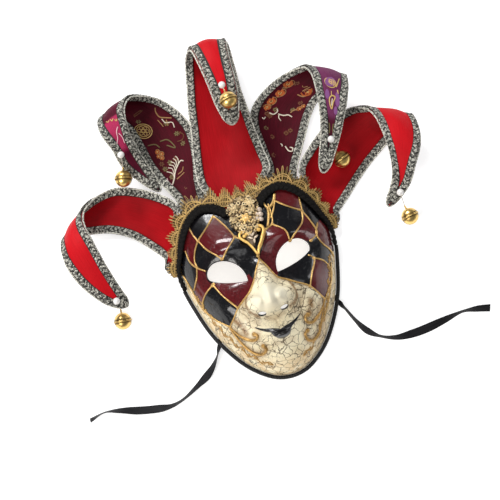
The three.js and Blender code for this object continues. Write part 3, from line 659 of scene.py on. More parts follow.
lacquer, at = finish("face_lacquer", Coat_Roughness=0.07, Specular_IOR_Level=0.16)
tones = painted(at)
red_share, cream_share, bare_share = tones.split("Color")
red_share, cream_share = red_share.span(0.4, 0.6), cream_share.span(0.4, 0.6)
glaze_and_shade_share = tones.other("Alpha")
outward = at.other("UV").split()[1]
wander = at.noise(110, 4, out=1)
drift = wander.node("ShaderNodeVectorMath", {"operation": "SCALE"}, {0: wander, "Scale": 0.009})
warped = at.node("ShaderNodeVectorMath", {}, {0: at, 1: drift})


def crackle(scale, width):
    cells = warped.node(
        "ShaderNodeTexVoronoi", {"feature": "DISTANCE_TO_EDGE"}, {"Vector": warped, "Scale": scale}
    )
    return 1 - cells.span(0.0, width)


broad_cracks = crackle(112, 0.07) * at.noise(38, 2).span(0.3, 0.42) * at.noise(170, 2).span(0.22, 0.34)
fine_cracks = crackle(290, 0.1) * at.noise(50, 2).span(0.42, 0.55) * at.noise(330, 2).span(0.28, 0.40)
cracks = (broad_cracks + fine_cracks * 0.6) * (1 - bare_share.span(0.2, 0.8) * 0.9)
glaze_cracks = crackle(210, 0.1) * at.noise(30, 2).span(0.4, 0.55)
stain = at.noise(26, 4).span(0.42, 0.8)
clay = stain.tint((0.80, 0.72, 0.51, 1), (0.66, 0.53, 0.30, 1))
clay = (bare_share * 0.6).tint(clay, (0.62, 0.60, 0.50, 1))
rim_stain = outward.span(0.62, 0.86) * at.noise(110, 4).span(0.3, 0.62)
clay = (rim_stain * 0.55).tint(clay, (0.62, 0.39, 0.15, 1))
# Painted shade: the glaze and shade lines darken the cream in the creases and hollows.
clay = (glaze_and_shade_share * at.noise(150, 3).span(0.15, 0.55)).tint(clay, (0.21, 0.095, 0.025, 1))
clay = (cracks.span(0.1, 1.0) * 0.85).tint(clay, (0.045, 0.026, 0.013, 1))
glaze = red_share.tint((0.004, 0.004, 0.005, 1), (0.085, 0.006, 0.008, 1))
glaze = (at.noise(30, 3).span(0.45, 0.8) * 0.3).tint(glaze, (0.016, 0.007, 0.008, 1))
glaze = (glaze_cracks * 0.5).tint(glaze, (0.002, 0.002, 0.002, 1))
cream_share.tint(glaze, clay).feed("Base Color")
(cream_share * 0.3 + 0.15 + at.noise(140, 2) * 0.06).feed("Roughness")
((0.5 - cream_share * 0.3) * (1 - glaze_cracks)).feed("Coat Weight")
(at.noise(420, 2) * 0.2 - cracks * (0.35 + cream_share * 0.5)).bump(0.3, 0.0012).feed("Normal")
bare_paper, at = finish("bare_paper", Roughness=0.85)
pulp = at.noise(160, 5)
pulp.tint((0.62, 0.57, 0.47, 1), (0.74, 0.70, 0.60, 1)).feed("Base Color")
(pulp + at.noise(45, 3) * 2).bump(0.5, 0.001).feed("Normal")
cut_edge, at = finish("cut_edge_black", Roughness=0.4)
at.noise(300, 2).tint((0.012, 0.012, 0.013, 1), (0.03, 0.026, 0.024, 1)).feed("Base Color")
face = piece("mask_face", face_mesh, [lacquer, bare_paper, cut_edge])
thicken(face, WALL, -1, inner=1, edge=2)
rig.replaces(face, "face_shell")
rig.slot(face, "shell")

# Lips: black enamel brushed thickly over the moulded lips after the cream coat had dried.
# It stands a little proud of the crackled ground and is polished.
UPPER_LIP = [
    (-24.5, -52.6, 0.6), (-19, -56.6, 1.3), (-13.5, -59.6, 1.9), (-8, -61.6, 2.4), (-3, -63.6, 2.7),
    (1.5, -65, 2.2), (5.5, -64.2, 2.8), (10.5, -62.6, 2.5), (16, -60, 2), (21.5, -56.5, 1.3),
    (26.8, -52.1, 0.5),
]
MOUTH_LINE = [(-10.4, -62), (-4, -64.6), (1.8, -66.2), (8, -65), (14.4, -62.6)]
LOWER_EDGE = [(-10.4, -62), (-7.5, -67.6), (-3.1, -71.7), (3.4, -72.8), (9.8, -70.3), (14.4, -62.6)]
ENAMEL, LIP_ALONG, LIP_ACROSS, LIP_SWELL = 0.35, 64, 10, (0.7, 2.0)
upper_top = [(x, y + half) for x, y, half in UPPER_LIP]
upper_low = [(x, y - half) for x, y, half in UPPER_LIP]
lip_mesh = new_mesh()
for edges, swell in zip(((upper_top, upper_low), (MOUTH_LINE, LOWER_EDGE)), LIP_SWELL):
    top_edge, low_edge = (trace([(x, y, 0) for x, y in edge], LIP_ALONG + 1) for edge in edges)

    def lip_place(u, v):
        k = int(round(u * LIP_ALONG))
        flat = low_edge[k].lerp(top_edge[k], v)
        round_over = ENAMEL * 0.6 + swell * (1 - (2 * v - 1) ** 2) * math.sin(math.pi * u) ** 0.5
        return spot(flat.x, flat.y, face_height(flat.x, flat.y)[0] + round_over)

    bent_grid(lip_mesh, LIP_ALONG, LIP_ACROSS, lip_place)
lip_enamel, at = finish("lip_enamel", Roughness=0.2, Coat_Weight=0.8, Coat_Roughness=0.05)
brush = at.noise(260, 3)
brush.tint((0.004, 0.004, 0.005, 1), (0.014, 0.012, 0.012, 1)).feed("Base Color")
brush.bump(0.06, 0.0004).feed("Normal")
lips = piece("lip_enamel", lip_mesh, [lip_enamel])
thicken(lips, ENAMEL * 3, -1)
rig.slot(lips, "shell")

# Tracery: raised gold lines piped on the lacquer along every lozenge, and scrolls on the cheeks.
# They are piped by hand from a bag, so each line swells a little and ends round.
TRACERY_WIDE, TRACERY_HIGH, TRACERY_STEP = 2.0, 0.95, 1.4
TRACERY = [
    [(-32.8, 84), (-43.5, 73.2), (-57.7, 61.9)], [(-57.7, 61.9), (-50.7, 47.6), (-37.5, 31.2)],
    [(-37.5, 30.2), (-29.3, 38.5), (-16.8, 50.9)], [(-16.8, 50.9), (-23.1, 65.7), (-32.8, 83)],
    [(-63.4, 81), (-61, 70), (-57.7, 61.9)],
    [(-57.7, 61.9), (-64.5, 51.5), (-67.7, 40.4), (-66.6, 32.4)],
    [(-75, 58), (-73.3, 43.2), (-67.3, 32.7), (-58.5, 25)],
    [(-67.3, 32.7), (-70.6, 22.2), (-77.9, 12)],
    [(-85.6, 33), (-80.4, 13.8), (-78.3, 1.5), (-73.9, -12), (-63.8, -28.5), (-50.9, -41.7)],
    [(-55.5, 7.9), (-66, 1.8), (-72.5, -5.1), (-74.2, -12.9)],
    [(-55.5, 7.9), (-47.4, -10.1), (-36.1, -26.8)],
    [(1.5, 27), (1.5, 18.8), (-5.2, 6.2), (-10.5, -4.3), (-19.5, -14.8), (-30, -22.3), (-36.1, -26.8),
     (-43.6, -35), (-50.9, -41.7)],
    [(1.5, 18.8), (6.8, 8.7), (14.7, -7.1), (24.2, -12.6), (33.7, -18.6), (46.1, -26.3), (58.4, -41.5)],
    [(-16.8, 50.9), (-9, 44), (-3.5, 36.4), (1.5, 26.1)],
    [(1.5, 24.3), (9, 33), (13.8, 41), (18.6, 49.2)],
    [(18.6, 49.2), (26.6, 53), (29.2, 66.1), (29.1, 77.7)], [(27.8, 60.3), (34.8, 73.3), (39.7, 87)],
    [(37.6, 79), (48.7, 69.6), (63.3, 60.7)], [(63.3, 60.7), (59.4, 47.5), (40.3, 28.7)],
    [(40.3, 28.7), (38.2, 41.5), (26.6, 53)], [(63.3, 60.7), (64.6, 78)],
    [(63.3, 60.7), (69.3, 46), (71.8, 31.5), (62.6, 24)],
    [(76, 44), (70.5, 30), (73.9, 19.5), (80.8, 11.7), (83, 5)],
    [(46.1, -26.3), (52.9, -11.6), (59.9, 4.1), (54.5, 9)],
    [(59.9, 4.1), (70, -0.6), (75, -10.5), (71.6, -21.5), (58.4, -41.5)],
    [(77.5, -2), (70.5, -24), (60, -46), (50, -62)],
]
TRUNKS = [
    [(21, 51.5), (23.5, 57.5), (25.8, 63.4), (27.5, 73)],
    [(24.4, 80), (27.3, 73.3), (32, 74.8), (36, 80), (39.5, 87.5)],
]
WEBS = [
    (-57.7, 61.9, 2.2), (-37.5, 31.2, 2.4), (-16.8, 50.9, 2.6), (-67, 32.7, 1.9), (-55.5, 7.9, 3.2),
    (-36.1, -26.8, 2), (-50.9, -41.7, 2.2), (1.5, 22, 2.2), (26.6, 53, 2), (40.3, 29, 2.4),
    (63.3, 60.7, 2.2), (62.6, 24, 2.2), (46.1, -26.3, 1.9), (58.4, -41.5, 2), (59.9, 4.1, 2.2),
    (18.6, 49.2, 2.2), (28.2, 61.5, 1.8), (-32.8, 82, 2),
]
VINE_STEPS, VINE_WAVES, VINE_ENDS = 120, 7, (0.03, 0.235)
VINE_INSET, VINE_SWING = 8, 2.1
VINE_LEAVES = ((0.5, 2.6), (1.5, 2.1), (2.5, 2.6))
HOOK_BEAD = (2.7, 2.7, 1.9)
PLAIN_GILT, HOOK_GILT, BROWN_GILT = (0, 0, 0, 1), (0.55, 0, 0, 1), (0.6, 0, 0, 1)


def length_of(line):
    return sum((end - start).length for start, end in zip(line, line[1:]))


def headings_of(line):
    last = len(line) - 1
    return [(line[min(k + 1, last)] - line[max(k - 1, 0)]).normalized() for k in range(last + 1)]


def tube(mesh, line, ups, wide, high, sides, tone=None, swell=None, map_scale=None, flare=None):
    """A closed strand with an oval section along a line, its ends drawn in."""
    count = len(line)
    headings = headings_of(line)
    spots = [0, *range(count), count - 1]
    last = len(spots) - 1
    long = length_of(line) / MM

    def place(u, v):
        row = int(round(u * last))
        k = spots[row]
        if row in (0, last):
            return line[k].copy()
        side = headings[k].cross(ups[k]).normalized()
        top = side.cross(headings[k])
        size = swell(k / (count - 1)) if swell else 1.0
        broad = size * (flare(k / (count - 1)) if flare else 1.0)
        angle = 2 * math.pi * v
        sideways = side * (math.cos(angle) * wide * broad * MM)
        return line[k] + sideways + top * (math.sin(angle) * high * size * MM)

    made = bent_grid(mesh, last, sides, place, (long, 1) if map_scale is None else map_scale, tone)
    bmesh.ops.remove_doubles(mesh, verts=made, dist=1e-7)


def on_face(places, lift):
    """A traced line laid on the face, with the face's normals under it."""
    line, ups = [], []
    for place in places:
        up = face_normal(place.x, place.y)
        line.append(spot(place.x, place.y, face_height(place.x, place.y)[0]) + up * (lift * MM))
        ups.append(up)
    return line, ups


def small_shape(name, build, **sizes):
    """A little mesh that is stamped many times."""
    made = new_mesh()
    build(made, **sizes)
    data = bpy.data.meshes.new(name)
    made.to_mesh(data)
    made.free()
    return data


def stamp(mesh, shape, place, axes, sizes, tone=(0.5, 0, 0, 1)):
    """Adds one copy of a little shape, its three axes scaled in millimetres."""
    copy = shape.copy()
    turn = Matrix(axes).transposed().to_4x4()
    stretch = Matrix.Diagonal((*(size * MM for size in sizes), 1))
    copy.transform(Matrix.Translation(place) @ turn @ stretch)
    for value in copy.attributes["tone"].data:
        value.color = tone
    mesh.from_mesh(copy)
    bpy.data.meshes.remove(copy)


def axes_on(up, along):
    """Three square axes on a surface: the given way along it, across it and up."""
    forward = (along - up * along.dot(up)).normalized()
    return forward, up.cross(forward), up


bead = small_shape("bead", bmesh.ops.create_uvsphere, u_segments=10, v_segments=6, radius=1)
tracery_mesh = new_mesh()
for rows, thin, thick in ((TRACERY, 1, 1), (HOOKS, 1.2, 2.3), (TRUNKS, 1.7, 1.7)):
    for row in rows:
        flat = [Vector((x, y, 0)) for x, y in row]
        steps = max(6, int(length_of(flat) / TRACERY_STEP))
        line, ups = on_face(trace(flat, steps), 0.3)
        waves = random.Random(steps).uniform(0, 6.28)

        def swelling(s):
            unsteady = 0.92 + 0.12 * math.sin(9 * s + waves) + 0.06 * math.sin(23 * s - waves)
            return mix(thin, thick, s) * unsteady

        tone = HOOK_GILT if rows is HOOKS else PLAIN_GILT
        tube(tracery_mesh, line, ups, TRACERY_WIDE / 2, TRACERY_HIGH, 8, tone, swelling)
        if rows is HOOKS:
            stamp(tracery_mesh, bead, line[-1], axes_on(ups[-1], Vector((1, 0, 0))), HOOK_BEAD, tone)
for x, y, radius in WEBS:
    line, ups = on_face([Vector((x, y, 0))], 0.1)
    sizes = (radius, radius * 0.75, 0.9)
    stamp(tracery_mesh, bead, line[0], axes_on(ups[0], Vector((1, 0.4, 0))), sizes, PLAIN_GILT)
for side in (1, -1):
    vine = []
    for k in range(VINE_STEPS + 1):
        share = mix(*VINE_ENDS, k / VINE_STEPS)
        rim = rim_fine[int((share if side > 0 else 1 - share) * len(rim_fine)) % len(rim_fine)]
        inward = Vector((-rim.x, POLE_Y - rim.y, 0)).normalized()
        swing = math.sin(2 * math.pi * VINE_WAVES * k / VINE_STEPS)
        vine.append(Vector((rim.x, rim.y, 0)) + inward * (VINE_INSET + VINE_SWING * swing))
    line, ups = on_face(vine, 0.1)
    tube(tracery_mesh, line, ups, 0.6, 0.5, 6, BROWN_GILT)
    for k in range(VINE_WAVES * 2):
        at_step = int((k + 0.5) * VINE_STEPS / (VINE_WAVES * 2))
        run = (vine[at_step + 1] - vine[at_step - 1]).normalized()
        flank = Vector((-run.y, run.x, 0)) * (side if k % 2 else -side)
        for angle, long in VINE_LEAVES:
            way = run * math.cos(angle) + flank * math.sin(angle)
            leaf, leaf_up = on_face([vine[at_step] + way * long], 0.15)
            stamp(tracery_mesh, bead, leaf[0], axes_on(leaf_up[0], way), (long, 1.2, 0.7), BROWN_GILT)
gilt_paint, at = finish("gilt_paint", Metallic=0.65, Specular_IOR_Level=0.5)
glint = at.noise(900, 3)
browned = painted(at).split("Color")[0]
gilt = glint.span(0.3, 0.75).tint((0.36, 0.19, 0.045, 1), (0.80, 0.54, 0.20, 1))
(browned * 0.8).tint(gilt, (0.24, 0.12, 0.03, 1)).feed("Base Color")
(0.48 - glint * 0.25).feed("Roughness")
(glint + at.noise(300, 2)).bump(0.35, 0.0005).feed("Normal")
tracery = piece("gold_tracery", tracery_mesh, [gilt_paint], outward=True)
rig.slot(tracery, "gold_cast")

# Edge cord: a smooth black piping glued along the cut rim, from ear to ear round the chin.
# It is a twisted cotton cord, dyed through.
CORD_RADIUS, CORD_LIFT, CORD_GAP, CORD_STEPS = 2.2, 1.4, 0.35, 260
PLY_PITCH, PLY_TURNS = 2.2, 12.566
EAR = Vector((87.5, 19, 1.5))


def rim_share(place):
    return min(range(len(rim_fine) // 2), key=lambda k: (rim_fine[k] - place).length) / len(rim_fine)


ear_share = rim_share(EAR)
cord_line, cord_ups = [], []
for k in range(CORD_STEPS + 1):
    share = mix(-ear_share, ear_share, k / CORD_STEPS) * len(rim_fine)
    here, there = rim_fine[int(share) % len(rim_fine)], rim_fine[(int(share) + 3) % len(rim_fine)]
    outward = Vector((there.y - here.y, here.x - there.x, 0)).normalized()
    place = here + outward * (CORD_RADIUS + CORD_GAP)
    cord_line.append(spot(place.x, place.y, place.z + CORD_RADIUS + CORD_LIFT))
    cord_ups.append(Vector((0, 0, 1)))
cord_mesh = new_mesh()
tube(cord_mesh, cord_line, cord_ups, CORD_RADIUS, CORD_RADIUS, 14)
cord_black, at = finish("cord_black", reads="UV", Roughness=0.6, Specular_IOR_Level=0.25)
along, across, _ = at.split()
ply = (along * PLY_PITCH + across * PLY_TURNS).wave()
(ply * 0.5 + 0.5).tint((0.004, 0.004, 0.005, 1), (0.018, 0.018, 0.019, 1)).feed("Base Color")
ply.bump(0.5, 0.0004).feed("Normal")
edge_piping = piece("edge_piping", cord_mesh, [cord_black], outward=True)
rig.replaces(edge_piping, "edge_cord")
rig.slot(edge_piping, "black_cord")

# Forehead braid: a thick plait of fuzzy black yarn laid over the edge of each forehead lobe.
# Three strands cross, and loose fibres stand off them.
BRAID_HALF_WIDTH, BRAID_HALF_HEIGHT, BRAID_INSET, BRAID_LIFT = 4.6, 2.3, 1.7, 0.5
BRAID_PITCH, BRAID_STRANDS, BRAID_STEPS, BRAID_HAIRS = 17, 3, 190, 14
BRAID_SWING, BRAID_RISE, YARN_WIDE, YARN_HIGH = 2.8, 0.75, 2.6, 1.6
HAIR_FOOT, HAIR_THICK, HAIR_LONG = (4.4, 1.7), 0.13, (1, 2.2)
LOBE_END = Vector((18.5, 80, 46))


def plait(mesh, line, ups, half_widths, half_height, pitch, strands, thick, flat, sides, tones):
    """Strands that swing across a band and over one another, as in a plaited braid."""
    count = len(line)
    headings = headings_of(line)
    run = [0.0]
    for start, end in zip(line, line[1:]):
        run.append(run[-1] + (end - start).length / MM)
    for strand in range(strands):
        path = []
        for k in range(count):
            phase = 2 * math.pi * (run[k] / pitch + strand / strands)
            side = headings[k].cross(ups[k]).normalized()
            swing = side * (half_widths[k] * math.sin(phase)) + ups[k] * (half_height * math.sin(2 * phase))
            path.append(line[k] + swing * MM)
        tube(mesh, path, ups, thick, flat, sides, tones[strand % len(tones)])


yarn_black, at = finish("yarn_black", reads="UV", Roughness=0.95, Specular_IOR_Level=0.1)
fuzz = at.node("ShaderNodeVectorMath", {"operation": "MULTIPLY"}, {0: at, 1: (0.9, 9, 1)}).noise(1.6, 4)
fuzz.span(0.3, 0.75).tint((0.003, 0.003, 0.003, 1), (0.016, 0.014, 0.013, 1)).feed("Base Color")
fuzz.bump(0.8, 0.0009).feed("Normal")
lobe_share = rim_share(LOBE_END)
hair = small_shape("hair", bmesh.ops.create_cone, segments=3, radius1=1, radius2=0.2, depth=1.0)
hair_seed = random.Random(7)
for side, word in ((1, "right"), (-1, "left")):
    braid_line, braid_ups = [], []
    for k in range(BRAID_STEPS):
        share = mix(ear_share + 0.002, lobe_share, k / (BRAID_STEPS - 1))
        rim = rim_fine[int(share * len(rim_fine))]
        radius = math.hypot(rim.x, rim.y - POLE_Y)
        near, inner = (
            middle.lerp(Vector((rim.x, rim.y, 0)), 1 - inset / radius)
            for inset in (BRAID_INSET, BRAID_INSET + BRAID_HALF_WIDTH)
        )
        near.z = crown(near.x, near.y, 1 - BRAID_INSET / radius, rim.z)
        inner.z = crown(inner.x, inner.y, 1 - (BRAID_INSET + BRAID_HALF_WIDTH) / radius, rim.z)
        ahead = rim_fine[int(share * len(rim_fine)) + 4] - rim
        up = (rim - inner).normalized().cross(ahead).normalized()
        up = up if up.z > 0 else -up
        centre = near + up * (BRAID_HALF_HEIGHT + BRAID_LIFT)
        braid_line.append(spot(side * centre.x, centre.y, centre.z))
        braid_ups.append(Vector((side * up.x, up.y, up.z)))
    braid_mesh = new_mesh()
    plait(braid_mesh, braid_line, braid_ups, [BRAID_SWING] * BRAID_STEPS, BRAID_RISE, BRAID_PITCH,
          BRAID_STRANDS, YARN_WIDE, YARN_HIGH, 10, [(0, 0, 0, 1)])
    for k in range(BRAID_STEPS - 2):
        ahead = (braid_line[k + 1] - braid_line[k]).normalized()
        flank = ahead.cross(braid_ups[k]).normalized()
        for _ in range(BRAID_HAIRS):
            angle = hair_seed.uniform(0, math.pi)
            out = flank * math.cos(angle) + braid_ups[k] * math.sin(angle)
            aside = flank * (math.cos(angle) * HAIR_FOOT[0])
            foot = braid_line[k] + (aside + braid_ups[k] * (math.sin(angle) * HAIR_FOOT[1])) * MM
            lean = ahead * hair_seed.uniform(-1, 1) + flank * hair_seed.uniform(-0.5, 0.5)
            way = (out + lean).normalized()
            sizes = (HAIR_THICK, HAIR_THICK, hair_seed.uniform(*HAIR_LONG))
            stamp(braid_mesh, hair, foot, axes_on(way, braid_ups[k] + ahead * 0.3), sizes)
    braid = piece(f"forehead_plait_{word}", braid_mesh, [yarn_black], outward=True)
    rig.replaces(braid, f"forehead_braid_{word}")
    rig.slot(braid, "black_braid")

# Gold lace: a bobbin lace of metallic thread sewn on outside the braid, from ear to ear over the brow.
# A footing of small loops carries fans of longer loops that rise to a point in every scallop.
COLLAR_ROWS = RIM[8:15] + [(17, 89.5, 41), (0, 87.5, 41)]
LACE_BASE, LACE_POINT, LACE_SCALLOPS, LACE_ENDS = 11, 9, 15, (0.012, 0.988)
LACE_CREST, LACE_PETALS, LACE_FOOTING = (0.78, 1.32), 8, 90
LACE_BANDS, BAND_STEPS = ((1.0, 0.8), (6.8, 0.7)), 400
GROUND_EDGE, LOOP_FOOT, FAN_FOOT = 6.4, 6.6, 7
ARCHES, ARCH_STEPS, PETAL_STEPS = (0.28, 0.42), 20, 16
ROOT_SLOPE, COLLAR_STEPS = 0.32, 1200
collar_mirrored = [(-x, y, z) for x, y, z in COLLAR_ROWS[-2::-1]]
collar_fine = trace(COLLAR_ROWS + collar_mirrored, COLLAR_STEPS + 1)


def skirt(share, reach):
    """A place on the sloping skirt that spreads outward from the forehead's edge."""
    index = min(max(share, 0.0), 1.0) * COLLAR_STEPS
    low = min(int(index), COLLAR_STEPS - 1)
    here = collar_fine[low].lerp(collar_fine[low + 1], index - low)
    ahead = collar_fine[min(low + 2, COLLAR_STEPS)] - collar_fine[max(low - 1, 0)]
    outward = Vector((ahead.y, -ahead.x, 0)).normalized()
    slope = ROOT_SLOPE * smooth(min(share, 1 - share), 0, 0.2)
    return here + outward * reach + Vector((0, 0, -slope * reach))


collar_long = length_of(collar_fine)


def lace_thread(mesh, places, thick, tone):
    """A thread along (share, reach, lift) places on the skirt."""
    line = []
    for share, reach, lift in places:
        place = skirt(mix(*LACE_ENDS, share), reach)
        line.append(spot(place.x, place.y, place.z + lift))
    tube(mesh, line, [Vector((0, 0, 1))] * len(line), thick, thick, 5, tone)


def petal(mesh, share, angle, start, long, half, thick, tone):
    """One loop of thread that leaves the footing at an angle and comes back to it."""
    rows = []
    for k in range(PETAL_STEPS + 1):
        turn = 2 * math.pi * k / PETAL_STEPS
        out = (1 - math.cos(turn)) / 2
        aside = half * math.sin(turn) * (0.45 + 0.55 * out)
        across = math.sin(angle) * long * out + math.cos(angle) * aside
        reach = start + math.cos(angle) * long * out - math.sin(angle) * aside
        rows.append((share + across / collar_long, reach, 0.5 + 0.35 * math.sin(turn)))
    lace_thread(mesh, rows, thick, tone)


def crest(share):
    """How much taller the scallops grow from the ears to the middle of the brow."""
    return mix(*LACE_CREST, smooth(min(share, 1 - share), 0.02, 0.32))


def finger(share, spread):
    """How far out a scallop's thread reaches, from its middle finger to its outermost one."""
    tall = (LACE_BASE + LACE_POINT) * crest(share) - FAN_FOOT
    return FAN_FOOT + tall * (1 - 0.66 * abs(spread) ** 1.25)


def shaded_lace_ground(u, v):
    """A thin sheet behind the loops, painted nearly black as the shade in the gaps between them."""
    scallop = min(int(u * LACE_SCALLOPS), LACE_SCALLOPS - 1)
    spread = 2 * (u * LACE_SCALLOPS - scallop) - 1
    edge = mix(GROUND_EDGE, finger((scallop + 0.5) / LACE_SCALLOPS, spread), 0.72)
    place = skirt(mix(*LACE_ENDS, u), mix(0.6, edge, v))
    return spot(place.x, place.y, place.z - 0.1)


lace_mesh = new_mesh()
lace_seed = random.Random(21)
# Painted shade: the sheet takes a dark tone, so the gaps between the loops read as shadow.
bent_grid(lace_mesh, LACE_SCALLOPS * 30, 3, shaded_lace_ground, tone=(0.12, 0, 0, 1))
for reach, thick in LACE_BANDS:
    rows = []
    for k in range(BAND_STEPS + 1):
        rows.append((k / BAND_STEPS, reach + 0.25 * math.sin(k * 1.7), 0.5 + 0.15 * math.sin(k * 0.9)))
    lace_thread(lace_mesh, rows, thick, (0.9, 0, 0, 1))
for k in range(LACE_FOOTING):
    share = (k + 0.5) / LACE_FOOTING
    petal(lace_mesh, share, 0, 1.5, 5, 1.4, 0.42, (lace_seed.uniform(0.6, 1), 0, 0, 1))
for scallop in range(LACE_SCALLOPS):
    share = (scallop + 0.5) / LACE_SCALLOPS
    for k in range(LACE_PETALS):
        spread = mix(-1, 1, k / (LACE_PETALS - 1))
        long = (finger(share, spread) - LOOP_FOOT) * lace_seed.uniform(0.95, 1.05)
        foot = share + spread * 0.41 / LACE_SCALLOPS
        tone = (lace_seed.uniform(0.45, 1), 0, 0, 1)
        petal(lace_mesh, foot, spread * 0.14, LOOP_FOOT, long, 0.55, 0.4, tone)
    for bow_share in ARCHES:
        arch = []
        bow_top = mix(FAN_FOOT, finger(share, 0), bow_share)
        for k in range(ARCH_STEPS + 1):
            bow = mix(FAN_FOOT, bow_top, math.sin(math.pi * k / ARCH_STEPS))
            arch.append((share + (k / ARCH_STEPS - 0.5) * 0.94 / LACE_SCALLOPS, bow, 1.2))
        lace_thread(lace_mesh, arch, 0.5, (1, 0, 0, 1))
gold_thread, at = finish("gold_thread", reads="UV", Metallic=0.6, Specular_IOR_Level=0.4)
along, across, _ = at.split()
twist = (along * 5.5 + across * 6.283).wave() * 0.5 + 0.5
shade = painted(at).split("Color")[0]
lit = (shade * (twist * 0.4 + 0.6)).span(0.12, 0.9)
lit.tint((0.030, 0.014, 0.004, 1), (0.66, 0.44, 0.16, 1)).feed("Base Color")
(0.52 - twist * 0.16).feed("Roughness")
twist.bump(0.6, 0.0003).feed("Normal")
lace = piece("gold_lace_loops", lace_mesh, [gold_thread], outward=True)
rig.replaces(lace, "gold_lace")
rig.slot(lace, "lace")

# Collar points: five cloth points sewn behind the lace, which run out, curl up and fold back.
# Three are plain red satin, two are figured brocade with a second cloth on the outer side.
# Each has two cloth layers over a stiffener, so the edge is about a millimetre and a half thick.
CLOTH = 1.6
ROOT_REACH, ROOT_DROP = (-1.5, 6, 15), (1.7, 3.9, 4.5)
POINT_ALONG, POINT_ACROSS, ROUND_START = 160, 30, 0.975
POINTS = [
    {"name": "red_center", "root": (0.64, 0.36), "tuck": 0, "bow": 7.2, "pearl": (0.48, 0.87, 0),
     "over": True, "bell": (20.8, 199.6, 69.5), "swell": 0.25,
     "rows": [(-39, 129, 26, 44, 124, 26), (-36, 160, 21, 43, 147, 21), (-30, 193, 17, 41, 172, 17),
              (-25, 224, 12, 40, 200, 12), (-19, 253, 8, 39, 229, 8), (-14, 273, 13, 40, 258, 13),
              (-9, 281, 28, 40, 276, 28), (-3, 277, 45, 38, 274, 45), (1, 254, 55, 36, 249, 55),
              (4, 228, 57, 35, 222, 57), (6, 203, 55, 31, 197, 55), (11, 178, 52, 23, 175, 52)]},
    {"name": "red_left", "root": (0.747, 0.962), "tuck": 0, "bow": 5, "pearl": (0.6, 0.95, 1.2),
     "over": False, "bell": (-166, 5.5, 10.4), "swell": 0.0,
     "rows": [(-71, 116, 22, -101, 61, 4.5), (-87, 133, 17, -113, 78, 4), (-108, 147, 13, -131, 97, 4),
              (-132, 156, 12, -154, 110, 5), (-154, 152, 18, -178, 114, 11), (-164, 145, 24, -193, 114, 19),
              (-172, 136, 32, -203, 109, 29), (-175, 120, 44, -206, 94, 43), (-171, 98, 50, -205, 74, 50),
              (-165, 69, 45, -195, 49, 45), (-158, 42, 34, -178, 27, 33), (-151, 21, 21, -160, 16, 19)]},
    {"name": "red_right", "root": (0.253, 0.038), "tuck": 0, "bow": 5, "pearl": (0.72, 0.95, 1.2),
     "over": True, "bell": (179.5, 24.5, 10.4), "swell": 0.0,
     "rows": [(78, 117, 22, 104, 54, 4.5), (94, 134, 17, 121, 69, 4), (113, 150, 13, 138, 84, 4),
              (133, 162, 12, 157, 99, 5), (153, 165, 16, 184, 116, 10), (162, 161, 21, 201, 125, 18),
              (170, 153, 30, 215, 130, 29), (174, 139, 43, 216, 110, 42), (176, 118, 49, 210, 90, 48),
              (177, 94, 44, 199, 72, 44), (172, 68, 30, 187, 55, 29), (156, 45, 12, 164, 40, 10)]},
    {"name": "brocade_left", "root": (0.652, 0.73), "tuck": 7.4, "bow": 5, "pearl": (0.78, 0.8763, 1.6),
     "over": True, "bell": (-119.4, 159.7, 29.3), "swell": 0.0,
     "rows": [(-36, 137, 16, -69, 121, 15), (-31, 160, 12, -80, 145, 10), (-28, 184, 8, -90, 170.5, 7),
              (-30, 207, 6.5, -95, 195, 6.5), (-41, 229, 7, -101, 219, 8), (-58, 246, 12, -111, 233, 14),
              (-82, 251, 28, -124, 235, 28), (-93, 239, 44, -129, 223, 43), (-97, 222, 50, -127, 208, 49),
              (-97, 200, 41, -121, 192, 40), (-91, 176.5, 26, -115, 171, 23),
              (-79.5, 140, 10.5, -89, 137, 10)]},
    {"name": "brocade_right", "root": (0.348, 0.27), "tuck": 7.4, "bow": 5, "pearl": (0.6, 0.932, 1.6),
     "over": False, "bell": (126, 110.5, 15), "swell": 0.0,
     "rows": [(41, 128, 16, 74, 117, 15), (40, 155, 12, 85, 136, 10), (39, 181, 8, 96, 155, 7),
              (45, 201, 6.5, 107, 173, 6.5), (63, 217, 7, 120, 187, 8), (88, 227, 12, 139, 195, 14),
              (114, 225, 28, 157, 198, 28), (120, 210, 44, 156, 185, 43), (120, 192, 50, 150, 169, 50),
              (117, 166, 47, 141, 151, 47), (110, 139, 36, 128, 129, 36), (95, 103, 20, 106, 98, 19)]},
]


def cloth_knots(point, share):
    start, end = point["root"]
    knots = []
    for reach, drop in zip(ROOT_REACH, ROOT_DROP):
        place = skirt(mix(start, end, share), reach)
        place.z -= drop + point["tuck"] * smooth(reach, 0, ROOT_REACH[-1])
        knots.append(place)
    for row in point["rows"]:
        knots.append(Vector(row[:3]).lerp(Vector(row[3:]), share))
    return knots


def cloth_curve(knots, t):
    """A point of the cloth's run from root to tip, and the way it heads there."""
    count = len(knots)
    place = (count - 1) * t
    first = min(int(place), count - 2)
    step = place - first
    here, there = knots[first], knots[first + 1]
    before = knots[first - 1] if first else here * 2 - there
    after = knots[first + 2] if first + 2 < count else there * 2 - here
    lead, tail = (there - before) / 2, (after - here) / 2
    bend, twist = (there - here) * 3 - lead * 2 - tail, (here - there) * 2 + lead + tail
    spot_here = here + lead * step + bend * step ** 2 + twist * step ** 3
    return spot_here, lead + bend * (2 * step) + twist * (3 * step ** 2)


